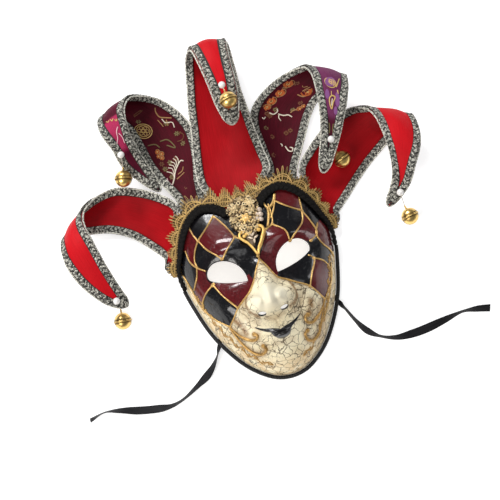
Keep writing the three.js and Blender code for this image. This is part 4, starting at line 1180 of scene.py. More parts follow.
def cloth_place(point, share, t):
    """A place in the middle of the cloth's thickness, the cloth's face normal and its heading."""
    knots = point.setdefault("knots", {})
    for column in (0, 0.5, 1, share):
        if column not in knots:
            knots[column] = cloth_knots(point, column)
    near, far = cloth_curve(knots[0], t)[0], cloth_curve(knots[1], t)[0]
    heading = cloth_curve(knots[0.5], t)[1].normalized()
    front = (far - near).cross(heading).normalized()
    if point["root"][0] < point["root"][1]:
        front = -front
    bow = point["bow"] * smooth(t, 0.1, 0.3) * (1 - smooth(t, 0.75, 1))
    place = cloth_curve(knots[share], t)[0] - front * (bow * 4 * share * (1 - share))
    return place, front, heading


def cloth_wide(point, t):
    knots = point["knots"]
    return (cloth_curve(knots[0], t)[0] - cloth_curve(knots[1], t)[0]).length


def woven(name, dark, light, rough, highlight_band=None):
    """A satin cloth: fine ribs across the strip, slubs along it and perhaps one broad lighter band across its run, a
    painted highlight.
    """
    made, at = finish(name, reads="UV", Specular_IOR_Level=0.06)
    along, across, _ = at.split()
    weft = (along * 9.4).wave() * 0.5 + 0.5
    warp = (across * 7.1).wave() * 0.5 + 0.5
    drawn = at.node("ShaderNodeVectorMath", {"operation": "MULTIPLY"}, {0: at, 1: (0.05, 0.9, 1)})
    slub = drawn.noise(1.0, 4)
    shade = at.noise(0.03, 2) * 0.3 + slub * 0.4 + weft * 0.15
    colour = shade.span(0.2, 0.68).tint(dark, light)
    # Painted highlight: the band is drawn lighter across part of the cloth's run.
    if highlight_band:
        start, end, band_dark, band_light = highlight_band
        inside_highlight_band = along.span(start - 2, start + 2) * (1 - along.span(end - 4, end + 4))
        colour = inside_highlight_band.tint(colour, shade.span(0.2, 0.68).tint(band_dark, band_light))
    colour.feed("Base Color")
    (rough + slub * 0.12).feed("Roughness")
    (weft * 0.6 + warp * 0.4 + slub * 0.5).bump(0.25, 0.0002).feed("Normal")
    return made


# One red satin on both sides: the inner side is painted darker as painted shade inside the curl, and the outer side
# lighter as the lit side.
shaded_satin_face = woven("red_satin_face", (0.20, 0.0018, 0.0035, 1), (0.37, 0.004, 0.008, 1), 0.45)
lit_satin_back = woven("red_satin_back", (0.38, 0.004, 0.0075, 1), (0.54, 0.008, 0.014, 1), 0.45)
maroon_face = woven("maroon_brocade", (0.022, 0.0016, 0.003, 1), (0.088, 0.0035, 0.012, 1), 0.5)
# Painted highlight on each brocade's folded tip: a lighter band of the outer cloth, from and to a run in millimetres,
# with its dark and light colours.
ROSE = (255, 298, (0.25, 0.011, 0.052, 1), (0.47, 0.044, 0.12, 1))
rose_back = woven("rose_brocade", (0.038, 0.0025, 0.008, 1), (0.11, 0.007, 0.026, 1), 0.5, ROSE)
PLUM = (205, 290, (0.085, 0.014, 0.050, 1), (0.16, 0.035, 0.095, 1))
plum_back = woven("plum_brocade", (0.030, 0.0025, 0.008, 1), (0.085, 0.006, 0.022, 1), 0.5, PLUM)
CLOTHS = {
    "red_center": (shaded_satin_face, lit_satin_back), "red_left": (shaded_satin_face, lit_satin_back),
    "red_right": (shaded_satin_face, lit_satin_back), "brocade_left": (maroon_face, rose_back),
    "brocade_right": (maroon_face, plum_back),
}
CLOTH_INSET = 1.3
for point in POINTS:
    cloth_mesh = new_mesh()
    rows = [cloth_place(point, 0.5, k / POINT_ALONG)[0] for k in range(POINT_ALONG + 1)]
    long = length_of(rows)
    wide = max(cloth_wide(point, k / 20) for k in range(21))

    def on_point(u, v):
        blunt = math.sqrt(1 - min(max((u - ROUND_START) / (1 - ROUND_START), 0), 1) ** 2)
        hemmed = max(1 - 2 * CLOTH_INSET / cloth_wide(point, u), 0.2)
        share, t = 0.5 + (v - 0.5) * blunt * hemmed, u * (1 - CLOTH_INSET / long)
        place, front, _ = cloth_place(point, share, t)
        slack = math.sin(math.pi * v)
        ripple = 0.35 * math.sin(21 * u + 5 * v) * slack + 0.2 * math.sin(47 * u - 9 * v)
        return spot(*(place + front * ripple * slack))

    bent_grid(cloth_mesh, POINT_ALONG, POINT_ACROSS, on_point, (long, wide))
    bmesh.ops.remove_doubles(cloth_mesh, verts=cloth_mesh.verts[:], dist=1e-6)
    middle_face = cloth_mesh.faces[:][len(cloth_mesh.faces) // 2]
    middle_face.normal_update()
    _, front, _ = cloth_place(point, 0.5, 0.5)
    if middle_face.normal.dot(front) < 0:
        bmesh.ops.reverse_faces(cloth_mesh, faces=cloth_mesh.faces[:])
    cloth = piece(f"cloth_{point['name']}", cloth_mesh, CLOTHS[point["name"]])
    thicken(cloth, CLOTH, 0, inner=1)
    area = sum(polygon.area for polygon in cloth.data.polygons)
    colour_word, side_word = point["name"].split("_")
    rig.replaces(cloth, f"{colour_word}_point_{side_word}")
    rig.slot(cloth, "red_satin" if colour_word == "red" else "brocade")
    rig.sheet(cloth, flat=(wide * MM, long * MM), held="stretched", rests_on=["mask_face"],
             area=min(area, wide * long * MM * MM))
    point["long"], point["wide"] = long, wide

# Brocade figures: flowers, feathers and scrolls woven into the two brocade points with a raised extra weft.
# Each is drawn with coloured silk, and the outlines with a gold or tan thread.
# A figure's places are given as a share of the cloth's run and a share of its width.
TAN, GOLD, OLIVE = (0.34, 0.19, 0.075, 1), (0.60, 0.40, 0.14, 1), (0.15, 0.115, 0.045, 1)
RUST, IVORY, UMBER = (0.38, 0.085, 0.015, 1), (0.74, 0.66, 0.53, 1), (0.13, 0.045, 0.018, 1)
BLUSH, VIOLET = (0.80, 0.50, 0.54, 1), (0.20, 0.065, 0.21, 1)
INNER, OUTER = 1, -1
ROSETTES, ROSETTE_RADIUS, ROSETTE_PETAL = 12, 1.9, (1.5, 0.9)
SILK_STEP, ARC_STEPS = 0.9, 12
STROKES = {
    "brocade_left": [
        (INNER, TAN, 0.8, [(0.540, 0.225), (0.523, 0.30), (0.50, 0.325), (0.487, 0.25), (0.477, 0.175)]),
        (INNER, TAN, 0.6, [(0.493, 0.40), (0.480, 0.40), (0.463, 0.40)]),
        (INNER, IVORY, 0.6, [(0.490, 0.325), (0.473, 0.325), (0.463, 0.225), (0.443, 0.25)]),
        (INNER, TAN, 0.6, [(0.480, 0.275), (0.460, 0.325)]),
        (INNER, UMBER, 0.8, [(0.553, 0.65), (0.557, 0.525), (0.557, 0.45)]),
        (INNER, UMBER, 0.8, [(0.547, 0.675), (0.550, 0.525), (0.555, 0.43)]),
        (INNER, UMBER, 0.7, [(0.420, 0.225), (0.403, 0.175), (0.390, 0.225), (0.393, 0.325)]),
        (INNER, UMBER, 0.7, [(0.420, 0.20), (0.410, 0.25)]),
        (INNER, OLIVE, 0.8, [(0.427, 0.825), (0.420, 0.70), (0.403, 0.65)]),
        (INNER, OLIVE, 0.8, [(0.423, 0.60), (0.417, 0.475), (0.40, 0.425), (0.377, 0.40), (0.40, 0.525)]),
        (INNER, IVORY, 0.8, [(0.267, 0.82), (0.283, 0.70), (0.303, 0.60), (0.317, 0.50), (0.327, 0.40),
                             (0.32, 0.35)]),
        (INNER, IVORY, 0.55, [(0.287, 0.675), (0.303, 0.675), (0.317, 0.75)]),
        (INNER, IVORY, 0.55, [(0.297, 0.65), (0.317, 0.625), (0.327, 0.69)]),
        (INNER, IVORY, 0.55, [(0.303, 0.60), (0.323, 0.575), (0.334, 0.64)]),
        (INNER, IVORY, 0.55, [(0.310, 0.55), (0.330, 0.535), (0.341, 0.585)]),
        (INNER, IVORY, 0.55, [(0.317, 0.515), (0.336, 0.49), (0.347, 0.52)]),
        (INNER, IVORY, 0.55, [(0.321, 0.465), (0.339, 0.44), (0.350, 0.46)]),
        (INNER, BLUSH, 0.6, [(0.267, 0.82), (0.283, 0.85), (0.297, 0.825)]),
        (INNER, TAN, 0.7, [(0.290, 0.575), (0.293, 0.45), (0.303, 0.40)]),
        (INNER, TAN, 0.7, [(0.277, 0.65), (0.280, 0.525), (0.283, 0.425)]),
        (OUTER, BLUSH, 0.6, [(0.797, 0.36), (0.807, 0.475), (0.827, 0.55), (0.843, 0.70)]),
        (OUTER, BLUSH, 0.6, [(0.817, 0.425), (0.837, 0.36), (0.857, 0.38)]),
        (OUTER, GOLD, 0.6, [(0.750, 0.66), (0.760, 0.60), (0.757, 0.55)]),
        (OUTER, GOLD, 0.6, [(0.757, 0.50), (0.768, 0.46), (0.763, 0.40)]),
        (OUTER, GOLD, 0.6, [(0.770, 0.36), (0.778, 0.32), (0.773, 0.28)]),
    ],
    "brocade_right": [
        (INNER, TAN, 0.8, [(0.517, 0.575), (0.513, 0.70), (0.523, 0.75)]),
        (INNER, TAN, 0.6, [(0.533, 0.60), (0.547, 0.625), (0.557, 0.65)]),
        (INNER, RUST, 1.0, [(0.527, 0.60), (0.517, 0.70), (0.527, 0.775), (0.553, 0.70)]),
        (INNER, TAN, 0.6, [(0.555, 0.50), (0.550, 0.55), (0.557, 0.60)]),
        (INNER, IVORY, 0.75, [(0.427, 0.30), (0.423, 0.375), (0.437, 0.425), (0.447, 0.40)]),
        (INNER, IVORY, 0.75, [(0.427, 0.45), (0.423, 0.55), (0.427, 0.625), (0.420, 0.70)]),
        (INNER, IVORY, 0.6, [(0.427, 0.475), (0.413, 0.475), (0.40, 0.525)]),
        (INNER, TAN, 0.7, [(0.437, 0.65), (0.447, 0.675), (0.453, 0.725)]),
        (INNER, IVORY, 0.6, [(0.403, 0.20), (0.397, 0.225), (0.407, 0.25)]),
        (INNER, IVORY, 0.7, [(0.309, 0.525), (0.303, 0.56), (0.299, 0.55)]),
        (INNER, IVORY, 0.8, [(0.300, 0.625), (0.283, 0.70), (0.280, 0.775)]),
        (INNER, IVORY, 0.8, [(0.297, 0.725), (0.293, 0.80), (0.280, 0.79)]),
        (OUTER, GOLD, 0.7, [(0.770, 0.65), (0.743, 0.70), (0.722, 0.74)]),
        (OUTER, GOLD, 0.7, [(0.780, 0.69), (0.793, 0.72)]),
        (OUTER, GOLD, 0.8, [(0.817, 0.425), (0.807, 0.525), (0.810, 0.625), (0.830, 0.55), (0.850, 0.50),
                            (0.833, 0.425), (0.817, 0.425)]),
        (OUTER, IVORY, 0.6, [(0.817, 0.525), (0.840, 0.50)]),
        (OUTER, GOLD, 0.5, [(0.793, 0.50), (0.810, 0.50)]),
        (OUTER, OLIVE, 0.7, [(0.893, 0.40), (0.907, 0.45), (0.920, 0.45)]),
        (OUTER, OLIVE, 0.7, [(0.893, 0.60), (0.910, 0.60), (0.920, 0.66)]),
    ],
}
PATCHES = {
    "brocade_left": [],
    "brocade_right": [(OUTER, VIOLET, 0.757, 0.47, 7, 6.4), (OUTER, VIOLET, 0.807, 0.36, 6, 2.6),
                      (OUTER, VIOLET, 0.815, 0.70, 9, 2.8), (OUTER, VIOLET, 0.852, 0.66, 5, 2.4)],
}
BLOSSOMS = {
    "brocade_left": [(0.393, 0.725, 3.2), (0.380, 0.675, 3.2), (0.377, 0.74, 3), (0.367, 0.70, 3)],
    "brocade_right": [(0.550, 0.25, 6), (0.510, 0.275, 6), (0.473, 0.235, 6), (0.447, 0.225, 4.6),
                      (0.457, 0.775, 3.6), (0.470, 0.82, 3), (0.535, 0.70, 4.5)],
}
ROUNDELS = {"brocade_left": (INNER, 0.480, 0.75, 9.4), "brocade_right": (OUTER, 0.760, 0.47, 6.6)}


def woven_spot(point, side, t, share, lift):
    """A place on the cloth's inner or outer side and the two ways up from it and along it."""
    place, front, heading = cloth_place(point, min(max(share, 0.02), 0.98), min(max(t, 0.02), 0.99))
    return spot(*(place + front * (side * (CLOTH / 2 + lift)))), front * side, heading


def silk_line(mesh, point, side, rows, thick, tone):
    """A raised thread through places given as shares of the cloth."""
    flat = [Vector((t * point["long"], share * point["wide"], 0)) for t, share in rows]
    steps = max(5, int(length_of(flat) / SILK_STEP))
    spots = []
    for place in trace(flat, steps):
        spots.append(woven_spot(point, side, place.x / point["long"], place.y / point["wide"], 0.3))
    tube(mesh, [row[0] for row in spots], [row[1] for row in spots], thick, thick * 0.45, 5, tone)


def silk_patch(mesh, point, side, t, share, angle, long, wide, tone):
    """A filled leaf or petal that lies flat on the cloth."""
    place, up, heading = woven_spot(point, side, t, share, 0.08)
    forward, aside, up = axes_on(up, heading)
    turned = forward * math.cos(angle) + aside * math.sin(angle)
    stamp(mesh, bead, place, axes_on(up, turned), (long, wide, 0.2), tone)


def around(point, t, share, radius, start=0.0, turn=2 * math.pi):
    """Places on a circle or an arc about a place on the cloth, its radius in millimetres."""
    rows = []
    for k in range(ARC_STEPS + 1):
        angle = start + turn * k / ARC_STEPS
        beside = radius * math.sin(angle) / cloth_wide(point, t)
        rows.append((t + radius * math.cos(angle) / point["long"], share + beside))
    return rows


def six_petals(mesh, point, t, share, radius, long, wide, tone):
    """A small flower on the cloth's inner side."""
    for k, (ahead, beside) in enumerate(around(point, t, share, radius)[:ARC_STEPS:2]):
        silk_patch(mesh, point, INNER, ahead, beside, k * math.pi / 3, long, wide, tone)


silk, at = finish("figure_silk", reads="UV", Specular_IOR_Level=0.2)
ribs = (at.split()[0] * 5).wave() * 0.5 + 0.5
(ribs * 0.3).tint(painted(at), (0.03, 0.008, 0.008, 1)).feed("Base Color")
(0.45 + ribs * 0.2).feed("Roughness")
ribs.bump(0.4, 0.0002).feed("Normal")
for point in POINTS:
    name = point["name"]
    if name not in STROKES:
        continue
    figure_mesh = new_mesh()
    figure_seed = random.Random(len(STROKES[name]))
    for k in range(ROSETTES):
        t, share = figure_seed.uniform(0.22, 0.56), figure_seed.uniform(0.2, 0.8)
        tone = figure_seed.choice((UMBER, UMBER, OLIVE))
        six_petals(figure_mesh, point, t, share, ROSETTE_RADIUS, *ROSETTE_PETAL, tone)
    for side, tone, t, share, long, wide in PATCHES[name]:
        silk_patch(figure_mesh, point, side, t, share, 0, long, wide, tone)
    for t, share, size in BLOSSOMS[name]:
        six_petals(figure_mesh, point, t, share, size * 0.55, size * 0.42, size * 0.3, RUST)
        silk_line(figure_mesh, point, INNER, around(point, t, share, size * 0.25), 0.4, GOLD)
        silk_line(figure_mesh, point, INNER, around(point, t, share, size * 0.95, size, 3.5), 0.35, TAN)
    side, t, share, radius = ROUNDELS[name]
    for ring, thick in ((1, 0.6), (0.76, 0.45), (0.2, 0.5)):
        silk_line(figure_mesh, point, side, around(point, t, share, radius * ring), thick, GOLD)
    for k in range(6):
        petal_middle = around(point, t, share, radius * 0.46)[2 * k]
        silk_line(figure_mesh, point, side, around(point, *petal_middle, radius * 0.19), 0.4, GOLD)
    for side, tone, thick, rows in STROKES[name]:
        silk_line(figure_mesh, point, side, rows, thick, tone)
    figures = piece(f"figures_{name}", figure_mesh, [silk], outward=True)
    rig.slot(figures, "brocade")

# Gimp: a flat braid of silver and black cord folded over both long edges of every point and stitched down.
# A dark binding lies under the plaited strands, and a bright cord runs along the edge and round the tip.
TRIM_WIDTH, TRIM_START = 9, 0.055
GIMP_STRAIGHT, GIMP_TURN, GIMP_PITCH = 270, 36, 11
GIMP_SWING, GIMP_RISE, GIMP_LIFT, STRAND_WIDE, STRAND_HIGH = 3, 0.5, 1.7, 1, 0.6
BINDING_LIFT, HEM_CORD = 1.15, 1.05
WHITE, SILVER, GREY, BLACK = (3, 0, 0, 1), (1, 0, 0, 1), (0.4, 0, 0, 1), (0.02, 0, 0, 1)
GIMP_TONES = [SILVER, BLACK, SILVER, GREY, SILVER]
gimp_thread, at = finish("gimp_thread", reads="UV", Specular_IOR_Level=0.4)
along, across, _ = at.split()
twist = (along * 4.4 + across * PLY_TURNS).wave() * 0.5 + 0.5
shade = painted(at).split("Color")[0]
fleck = at.other("Object").noise(520, 3).span(0.43, 0.57)
body = (shade * (0.08 + fleck * 0.74)).tint((0.009, 0.009, 0.007, 1), (0.78, 0.76, 0.66, 1))
(twist.span(0.5, 0.1) * 0.6).tint(body, (0.03, 0.028, 0.025, 1)).feed("Base Color")
(0.6 - fleck * 0.15).feed("Roughness")
twist.bump(0.7, 0.0004).feed("Normal")
hem_run = [(1, 0, mix(TRIM_START, ROUND_START, k / GIMP_STRAIGHT)) for k in range(GIMP_STRAIGHT)]
for k in range(GIMP_TURN + 1):
    angle = math.pi * k / GIMP_TURN
    hem_run.append((math.cos(angle), math.sin(angle), ROUND_START))
hem_run += [(-1, 0, t) for _, _, t in hem_run[GIMP_STRAIGHT - 1::-1]]


def trim_swell(point, t):
    """How much broader the gimp lies on the folded end of a point."""
    return 1 + point["swell"] * smooth(t, 0.62, 0.9)


def hem(point, station, depth):
    """A place on the cloth at a station of the hem and a depth in from the edge, with its normal."""
    side, rise, t = station
    depth *= trim_swell(point, t)
    t += rise * (1 - ROUND_START - depth / point["long"])
    inward = min(depth / max(cloth_wide(point, min(t, 1)), 1.0), 0.5)
    return cloth_place(point, 0.5 - side * (0.5 - inward), t)


for point in POINTS:
    gimp_mesh = new_mesh()

    def binding(u, v):
        fold = abs(v * 2 - 1)
        place, front, _ = hem(point, hem_run[int(round(u * (len(hem_run) - 1)))], TRIM_WIDTH * fold * 0.98)
        lift = BINDING_LIFT * (1 if v < 0.5 else -1) * min(1.0, fold * 30)
        return spot(*(place + front * lift))

    bent_grid(gimp_mesh, len(hem_run) - 1, 12, binding, (point["long"] * 2, 18), BLACK)
    for face_side in (1, -1):
        spots = [hem(point, station, TRIM_WIDTH / 2) for station in hem_run]
        line = [spot(*(place + front * (face_side * GIMP_LIFT))) for place, front, _ in spots]
        ups = [front * face_side for _, front, _ in spots]
        swings = [GIMP_SWING * trim_swell(point, t) for _, _, t in hem_run]
        plait(gimp_mesh, line, ups, swings, GIMP_RISE, GIMP_PITCH, len(GIMP_TONES), STRAND_WIDE,
              STRAND_HIGH, 5, GIMP_TONES)
    spots = [hem(point, station, 0) for station in hem_run]
    line, ups = [spot(*row[0]) for row in spots], [row[1] for row in spots]
    tube(gimp_mesh, line, ups, HEM_CORD, HEM_CORD, 8, WHITE)
    gimp = piece(f"gimp_{point['name']}", gimp_mesh, [gimp_thread])
    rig.replaces(gimp, f"trim_{point['name']}_a", f"trim_{point['name']}_b")
    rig.slot(gimp, "gimp")

# Pearls, threads and bells: a white glass pearl is sewn to each tip, and a brass bell hangs from a thread.
# The bell is two pressed cups joined at the equator, slit below, with a wire eyelet on top.
PEARL_RADIUS, BELL_RADIUS, BELL_WALL, BELL_SLIT = 4, 10.5, 0.4, 1.8
EYELET_RADIUS, EYELET_WIRE, THREAD_RADIUS, SEW_GAP = 2.2, 0.75, 0.5, 0.35
BELL_LEAN, BELL_STEPS, EYELET_STEPS, THREAD_STEPS = 0.12, 40, 24, 10
CUP_LOW, SLIT_TOP, SLIT_HOLE, SLIT_HOLE_RADIUS = 2, 2.6, 8.2, 1.6
KNOT_LIFT, THREAD_SAG = 1.5, Vector((0, 0, -0.6))
pearl_gloss, at = finish(
    "pearl_gloss", Roughness=0.16, Coat_Weight=0.8, Coat_Roughness=0.05, Sheen_Weight=0.2
)
bloom = at.noise(260, 3)
bloom.tint((0.62, 0.60, 0.57, 1), (0.80, 0.78, 0.76, 1)).feed("Base Color")
bloom.bump(0.06, 0.0005).feed("Normal")
bell_brass, at = finish("bell_brass", Metallic=1.0)
# The brass is darkest in the seam and on the bands beside the flange, where painted shade joins the tarnish.
seam_and_shade = painted(at).split("Color")[0]
tarnish = at.noise(210, 4)
polish = tarnish.span(0.5, 0.9).tint((0.84, 0.58, 0.20, 1), (0.62, 0.39, 0.11, 1))
seam_and_shade.tint((0.055, 0.024, 0.006, 1), polish).feed("Base Color")
(0.45 - seam_and_shade * 0.18 + tarnish * 0.06).feed("Roughness")
sewing_thread, at = finish("sewing_thread", Roughness=0.8)
at.noise(700, 2).tint((0.34, 0.30, 0.26, 1), (0.62, 0.58, 0.52, 1)).feed("Base Color")
# The bell's profile rows give angle, lip and paint: the paint is darkest in the seam at the equator, and the bands
# beside the flange are painted darker, as tarnish with painted shade under the flange.
low_profile = [(angle, 0, 1) for angle in range(-90, -24, 8)]
low_profile += [(-20, 0, 0.8), (-14, 0, 0.35), (-9, 0, 0.06), (-6, 0.3, 0.04), (-5, 1.6, 0.8),
                (-3.4, 1.9, 1), (-1.4, 1.9, 0.9), (-0.8, 0.9, 0)]
bell_profile = low_profile + [(-angle, lip, bright) for angle, lip, bright in reversed(low_profile)]


def make_bell(mesh, place, aim):
    """A slit hollow ball with its eyelet along `aim`."""
    skin_radius = BELL_RADIUS - 2 * BELL_WALL
    verts = []
    tone = mesh.verts.layers.float_color["tone"]
    for angle, lip, bright in bell_profile:
        turn = math.radians(angle)
        wide = 0 if abs(angle) == 90 else (skin_radius + lip * BELL_WALL) * math.cos(turn)
        verts.append(mesh.verts.new((wide * MM, 0, skin_radius * math.sin(turn) * MM)))
        verts[-1][tone] = (bright, 0, 0, 1)
    edges = [mesh.edges.new(pair) for pair in zip(verts, verts[1:])]
    bmesh.ops.spin(mesh, geom=verts + edges, cent=(0, 0, 0), axis=(0, 0, 1), angle=2 * math.pi,
                   steps=BELL_STEPS, use_merge=True)
    bmesh.ops.remove_doubles(mesh, verts=mesh.verts[:], dist=1e-6)
    for edge_y, side in ((BELL_SLIT / 2, 1), (-BELL_SLIT / 2, -1)):
        low_cup = [face for face in mesh.faces if face.calc_center_median().z < -CUP_LOW * MM]
        geom = list({part for face in low_cup for part in (*face.verts, *face.edges)}) + low_cup
        bmesh.ops.bisect_plane(mesh, geom=geom, dist=1e-7, plane_co=(0, edge_y * MM, 0),
                               plane_no=(0, side, 0))
    gone = []
    for face in mesh.faces:
        centre = face.calc_center_median() / MM
        hole = math.hypot(centre.y, abs(centre.x) - SLIT_HOLE) < SLIT_HOLE_RADIUS
        if centre.z < -SLIT_TOP and (abs(centre.y) < BELL_SLIT / 2 or hole):
            gone.append(face)
    bmesh.ops.delete(mesh, geom=gone, context="FACES")
    bmesh.ops.recalc_face_normals(mesh, faces=mesh.faces[:])
    bmesh.ops.solidify(mesh, geom=mesh.faces[:], thickness=BELL_WALL * 0.6 * MM)
    ring = []
    for k in range(EYELET_STEPS + 1):
        angle = 2 * math.pi * k / EYELET_STEPS
        ring.append(Vector((0, EYELET_RADIUS * math.cos(angle), EYELET_RADIUS * math.sin(angle))) * MM)
        ring[-1].z += (skin_radius + EYELET_RADIUS - EYELET_WIRE) * MM
    tube(mesh, ring, [Vector((1, 0, 0))] * len(ring), EYELET_WIRE, EYELET_WIRE, 8, (0.7, 0, 0, 1))
    turn = aim.to_track_quat("Z", "Y").to_matrix().to_4x4()
    bmesh.ops.transform(mesh, matrix=Matrix.Translation(place) @ turn, verts=mesh.verts[:])


for point in POINTS:
    share, t, lift = point["pearl"]
    place, front, _ = cloth_place(point, share, t)
    pearl_spot = place - front * (CLOTH / 2 + SEW_GAP + PEARL_RADIUS + lift)
    pearl_mesh = new_mesh()
    bmesh.ops.create_uvsphere(pearl_mesh, u_segments=32, v_segments=20, radius=PEARL_RADIUS * MM)
    drilled = front.to_track_quat("Z", "Y").to_matrix().to_4x4()
    sewn = Matrix.Translation(spot(*pearl_spot)) @ drilled
    bmesh.ops.transform(pearl_mesh, matrix=sewn, verts=pearl_mesh.verts[:])
    pearl = piece(f"pearl_drop_{point['name']}", pearl_mesh, [pearl_gloss])
    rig.replaces(pearl, f"pearl_{point['name']}")
    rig.slot(pearl, "pearl")
    bell_spot = Vector(point["bell"])
    aim = pearl_spot - bell_spot
    aim.z *= BELL_LEAN
    aim.normalize()
    bell_mesh = new_mesh()
    make_bell(bell_mesh, spot(*bell_spot), aim)
    bell = piece(f"jingle_bell_{point['name']}", bell_mesh, [bell_brass])
    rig.replaces(bell, f"bell_{point['name']}")
    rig.slot(bell, "bell")
    eyelet = bell_spot + aim * (BELL_RADIUS - 2 * BELL_WALL + 2 * EYELET_RADIUS - EYELET_WIRE)
    knot = pearl_spot if point["over"] else place + front * (CLOTH / 2 + KNOT_LIFT)
    thread_mesh = new_mesh()
    strand = []
    for k in range(THREAD_STEPS + 1):
        sag = THREAD_SAG * math.sin(math.pi * k / THREAD_STEPS) * MM
        strand.append(spot(*knot.lerp(eyelet, k / THREAD_STEPS)) + sag)
    tube(thread_mesh, strand, [Vector((0.3, 0.2, 0.93))] * len(strand), THREAD_RADIUS, THREAD_RADIUS, 8)
    thread = piece(f"bell_thread_{point['name']}", thread_mesh, [sewing_thread], outward=True)
    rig.replaces(thread, f"thread_{point['name']}")
    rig.slot(thread, "black_cord")

# Cartouche: a cast ornament gilded with flakes, glued over the notch between the lobes.
# Rosettes, leaves and beads crowd a shield that narrows to a drop between the eyes.
cartouche_low = Vector(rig.box("cartouche")[0])
CARTOUCHE_EDGE = [(95, 7), (90, 15), (82, 19), (72, 17), (62, 17.5), (52, 11), (42, 6), (31, 1.5)]
CARTOUCHE_SLOPE, CARTOUCHE_TOP, CARTOUCHE_TIP, PLATE = -0.27, 95, 31, 3.4
CAST_FLOWERS = [
    (0.7, 66, 7, 6, 1), (-9, 82, 6, 7, 0.7), (9.5, 84, 6, 7, 0.7), (-12, 68, 4.6, 6, 0.6),
    (1, 78, 4.4, 6, 0.8), (0, 91, 3.8, 6, 0.6), (10, 74, 4.2, 6, 0.7), (-6, 57, 4, 6, 0.8),
]
CAST_STONES = [(17.5, 66, 3), (16.5, 60, 2.8), (18, 72, 2.6), (13, 62, 2.2), (14.5, 67, 2)]
CAST_SCROLLS = [
    [(1.6, 20), (-1.5, 29), (-5, 36.5), (-9.5, 42), (-11.8, 46.8), (-9.6, 51), (-5.2, 51), (-3.8, 47.2),
     (-6.6, 45.8)],
    [(2.6, 20), (5, 27.5), (9, 33.5), (12.8, 41), (15.6, 47), (14.4, 52.2), (10.4, 53.6), (8.2, 50.4),
     (10.6, 48.6)],
]
CAST_LEAVES = [(0.5, 5.5, 41), (2.5, -0.5, 41.5), (1.4, 2.6, 37), (0.9, 3.4, 45.5), (2.1, 0.6, 46)]
CAST_RINGS, RING_STEPS, RING_TURN, CAST_NUGGETS = 16, 12, 0.5236, 520
lean = math.atan(CARTOUCHE_SLOPE)
cartouche_middle = (CARTOUCHE_TOP + CARTOUCHE_TIP) / 2
cartouche_seat = (cartouche_low.z - seat.z) / MM - math.sin(lean) * (CARTOUCHE_TOP - cartouche_middle)
tilt = Matrix.Rotation(lean, 4, "X")


def on_plate(x, y, z):
    """A place given on the cast plate as if it lay flat, in millimetres."""
    turned = tilt @ Vector((x, y - cartouche_middle, z))
    return spot(turned.x, turned.y + cartouche_middle, turned.z + cartouche_seat)


def plate_half(y):
    for (top, wide), (bottom, narrow) in zip(CARTOUCHE_EDGE, CARTOUCHE_EDGE[1:]):
        if bottom <= y <= top:
            return mix(narrow, wide, (y - bottom) / (top - bottom))
    return 1.5


def plate_axes(angle):
    flat = Vector((math.cos(angle), math.sin(angle), 0))
    return axes_on((tilt @ Vector((0, 0, 1))).normalized(), (tilt @ flat).normalized())


def cast_wire(mesh, rows, thick, tone, swell=None):
    line = [on_plate(*row) for row in rows]
    tube(mesh, line, [tilt @ Vector((0, 0, 1))] * len(line), thick, thick * 0.85, 7, tone, swell)


cast_mesh = new_mesh()
cast_seed = random.Random(11)


def plate_place(u, v):
    y = mix(CARTOUCHE_TIP, CARTOUCHE_TOP, u)
    half = plate_half(y) * 0.95
    angle = 2 * math.pi * v
    return on_plate(half * math.cos(angle), y, PLATE * (0.45 + 0.4 * math.sin(angle)))


plate = bent_grid(cast_mesh, 60, 24, plate_place, (1, 1), (0.0, 0, 0, 1))
bmesh.ops.remove_doubles(cast_mesh, verts=plate, dist=1e-7)
for x, y, radius, petals, bright in CAST_FLOWERS:
    for ring, share in ((0, 0.68), (1, 0.36)):
        for k in range(petals):
            angle = 2 * math.pi * (k + ring * 0.5) / petals
            petal_x, petal_y = x + radius * share * math.cos(angle), y + radius * share * math.sin(angle)
            place = on_plate(petal_x, petal_y, PLATE + 1 + ring)
            tone = (bright * cast_seed.uniform(0.6, 1), 0, 0.8 if bright == 1 else 0.2, 1)
            stamp(cast_mesh, bead, place, plate_axes(angle), (radius * 0.33, radius * 0.2, 1.1), tone)
    sizes = (radius * 0.17, radius * 0.17, 1)
    stamp(cast_mesh, bead, on_plate(x, y, PLATE + 2.6), plate_axes(0), sizes, (1, 0, 0, 1))
for k in range(CAST_RINGS):
    y = cast_seed.uniform(50, 92)
    x = cast_seed.uniform(-1, 1) * plate_half(y) * 0.9
    radius, height = cast_seed.uniform(1.3, 2.2), PLATE + cast_seed.uniform(0.8, 2.2)
    loop = []
    for step in range(RING_STEPS + 1):
        angle = step * RING_TURN
        loop.append((x + radius * math.cos(angle), y + radius * math.sin(angle), height))
    cast_wire(cast_mesh, loop, 0.5, (cast_seed.uniform(0.5, 1), 0, 0, 1))
for k in range(CAST_NUGGETS):
    y = cast_seed.uniform(46, 94)
    x = cast_seed.uniform(-1, 1) * plate_half(y)
    size = cast_seed.uniform(0.45, 1.15)
    place = on_plate(x, y, PLATE + cast_seed.uniform(-0.8, 1.6))
    sizes = (size * cast_seed.uniform(0.9, 1.7), size, size)
    tone = (cast_seed.random(), 0, cast_seed.random() * 0.5, 1)
    stamp(cast_mesh, bead, place, plate_axes(k * 2.4), sizes, tone)
for x, y, size in CAST_STONES:
    sizes = (size, size * 1.2, 1.8)
    stamp(cast_mesh, bead, on_plate(x, y, PLATE + 0.8), plate_axes(0.5), sizes, (0.6, 1, 0, 1))
for rows in CAST_SCROLLS:
    curve = trace([(x, y, PLATE * 0.5 + 1.3) for x, y in rows], 48)
    cast_wire(cast_mesh, curve, 1.8, (0.8, 0, 1, 1), swell=lambda s: 0.8 + 0.25 * s)
    stamp(cast_mesh, bead, on_plate(*curve[-1]), plate_axes(0), (2.4, 2.4, 2.1), (0.9, 0, 1, 1))
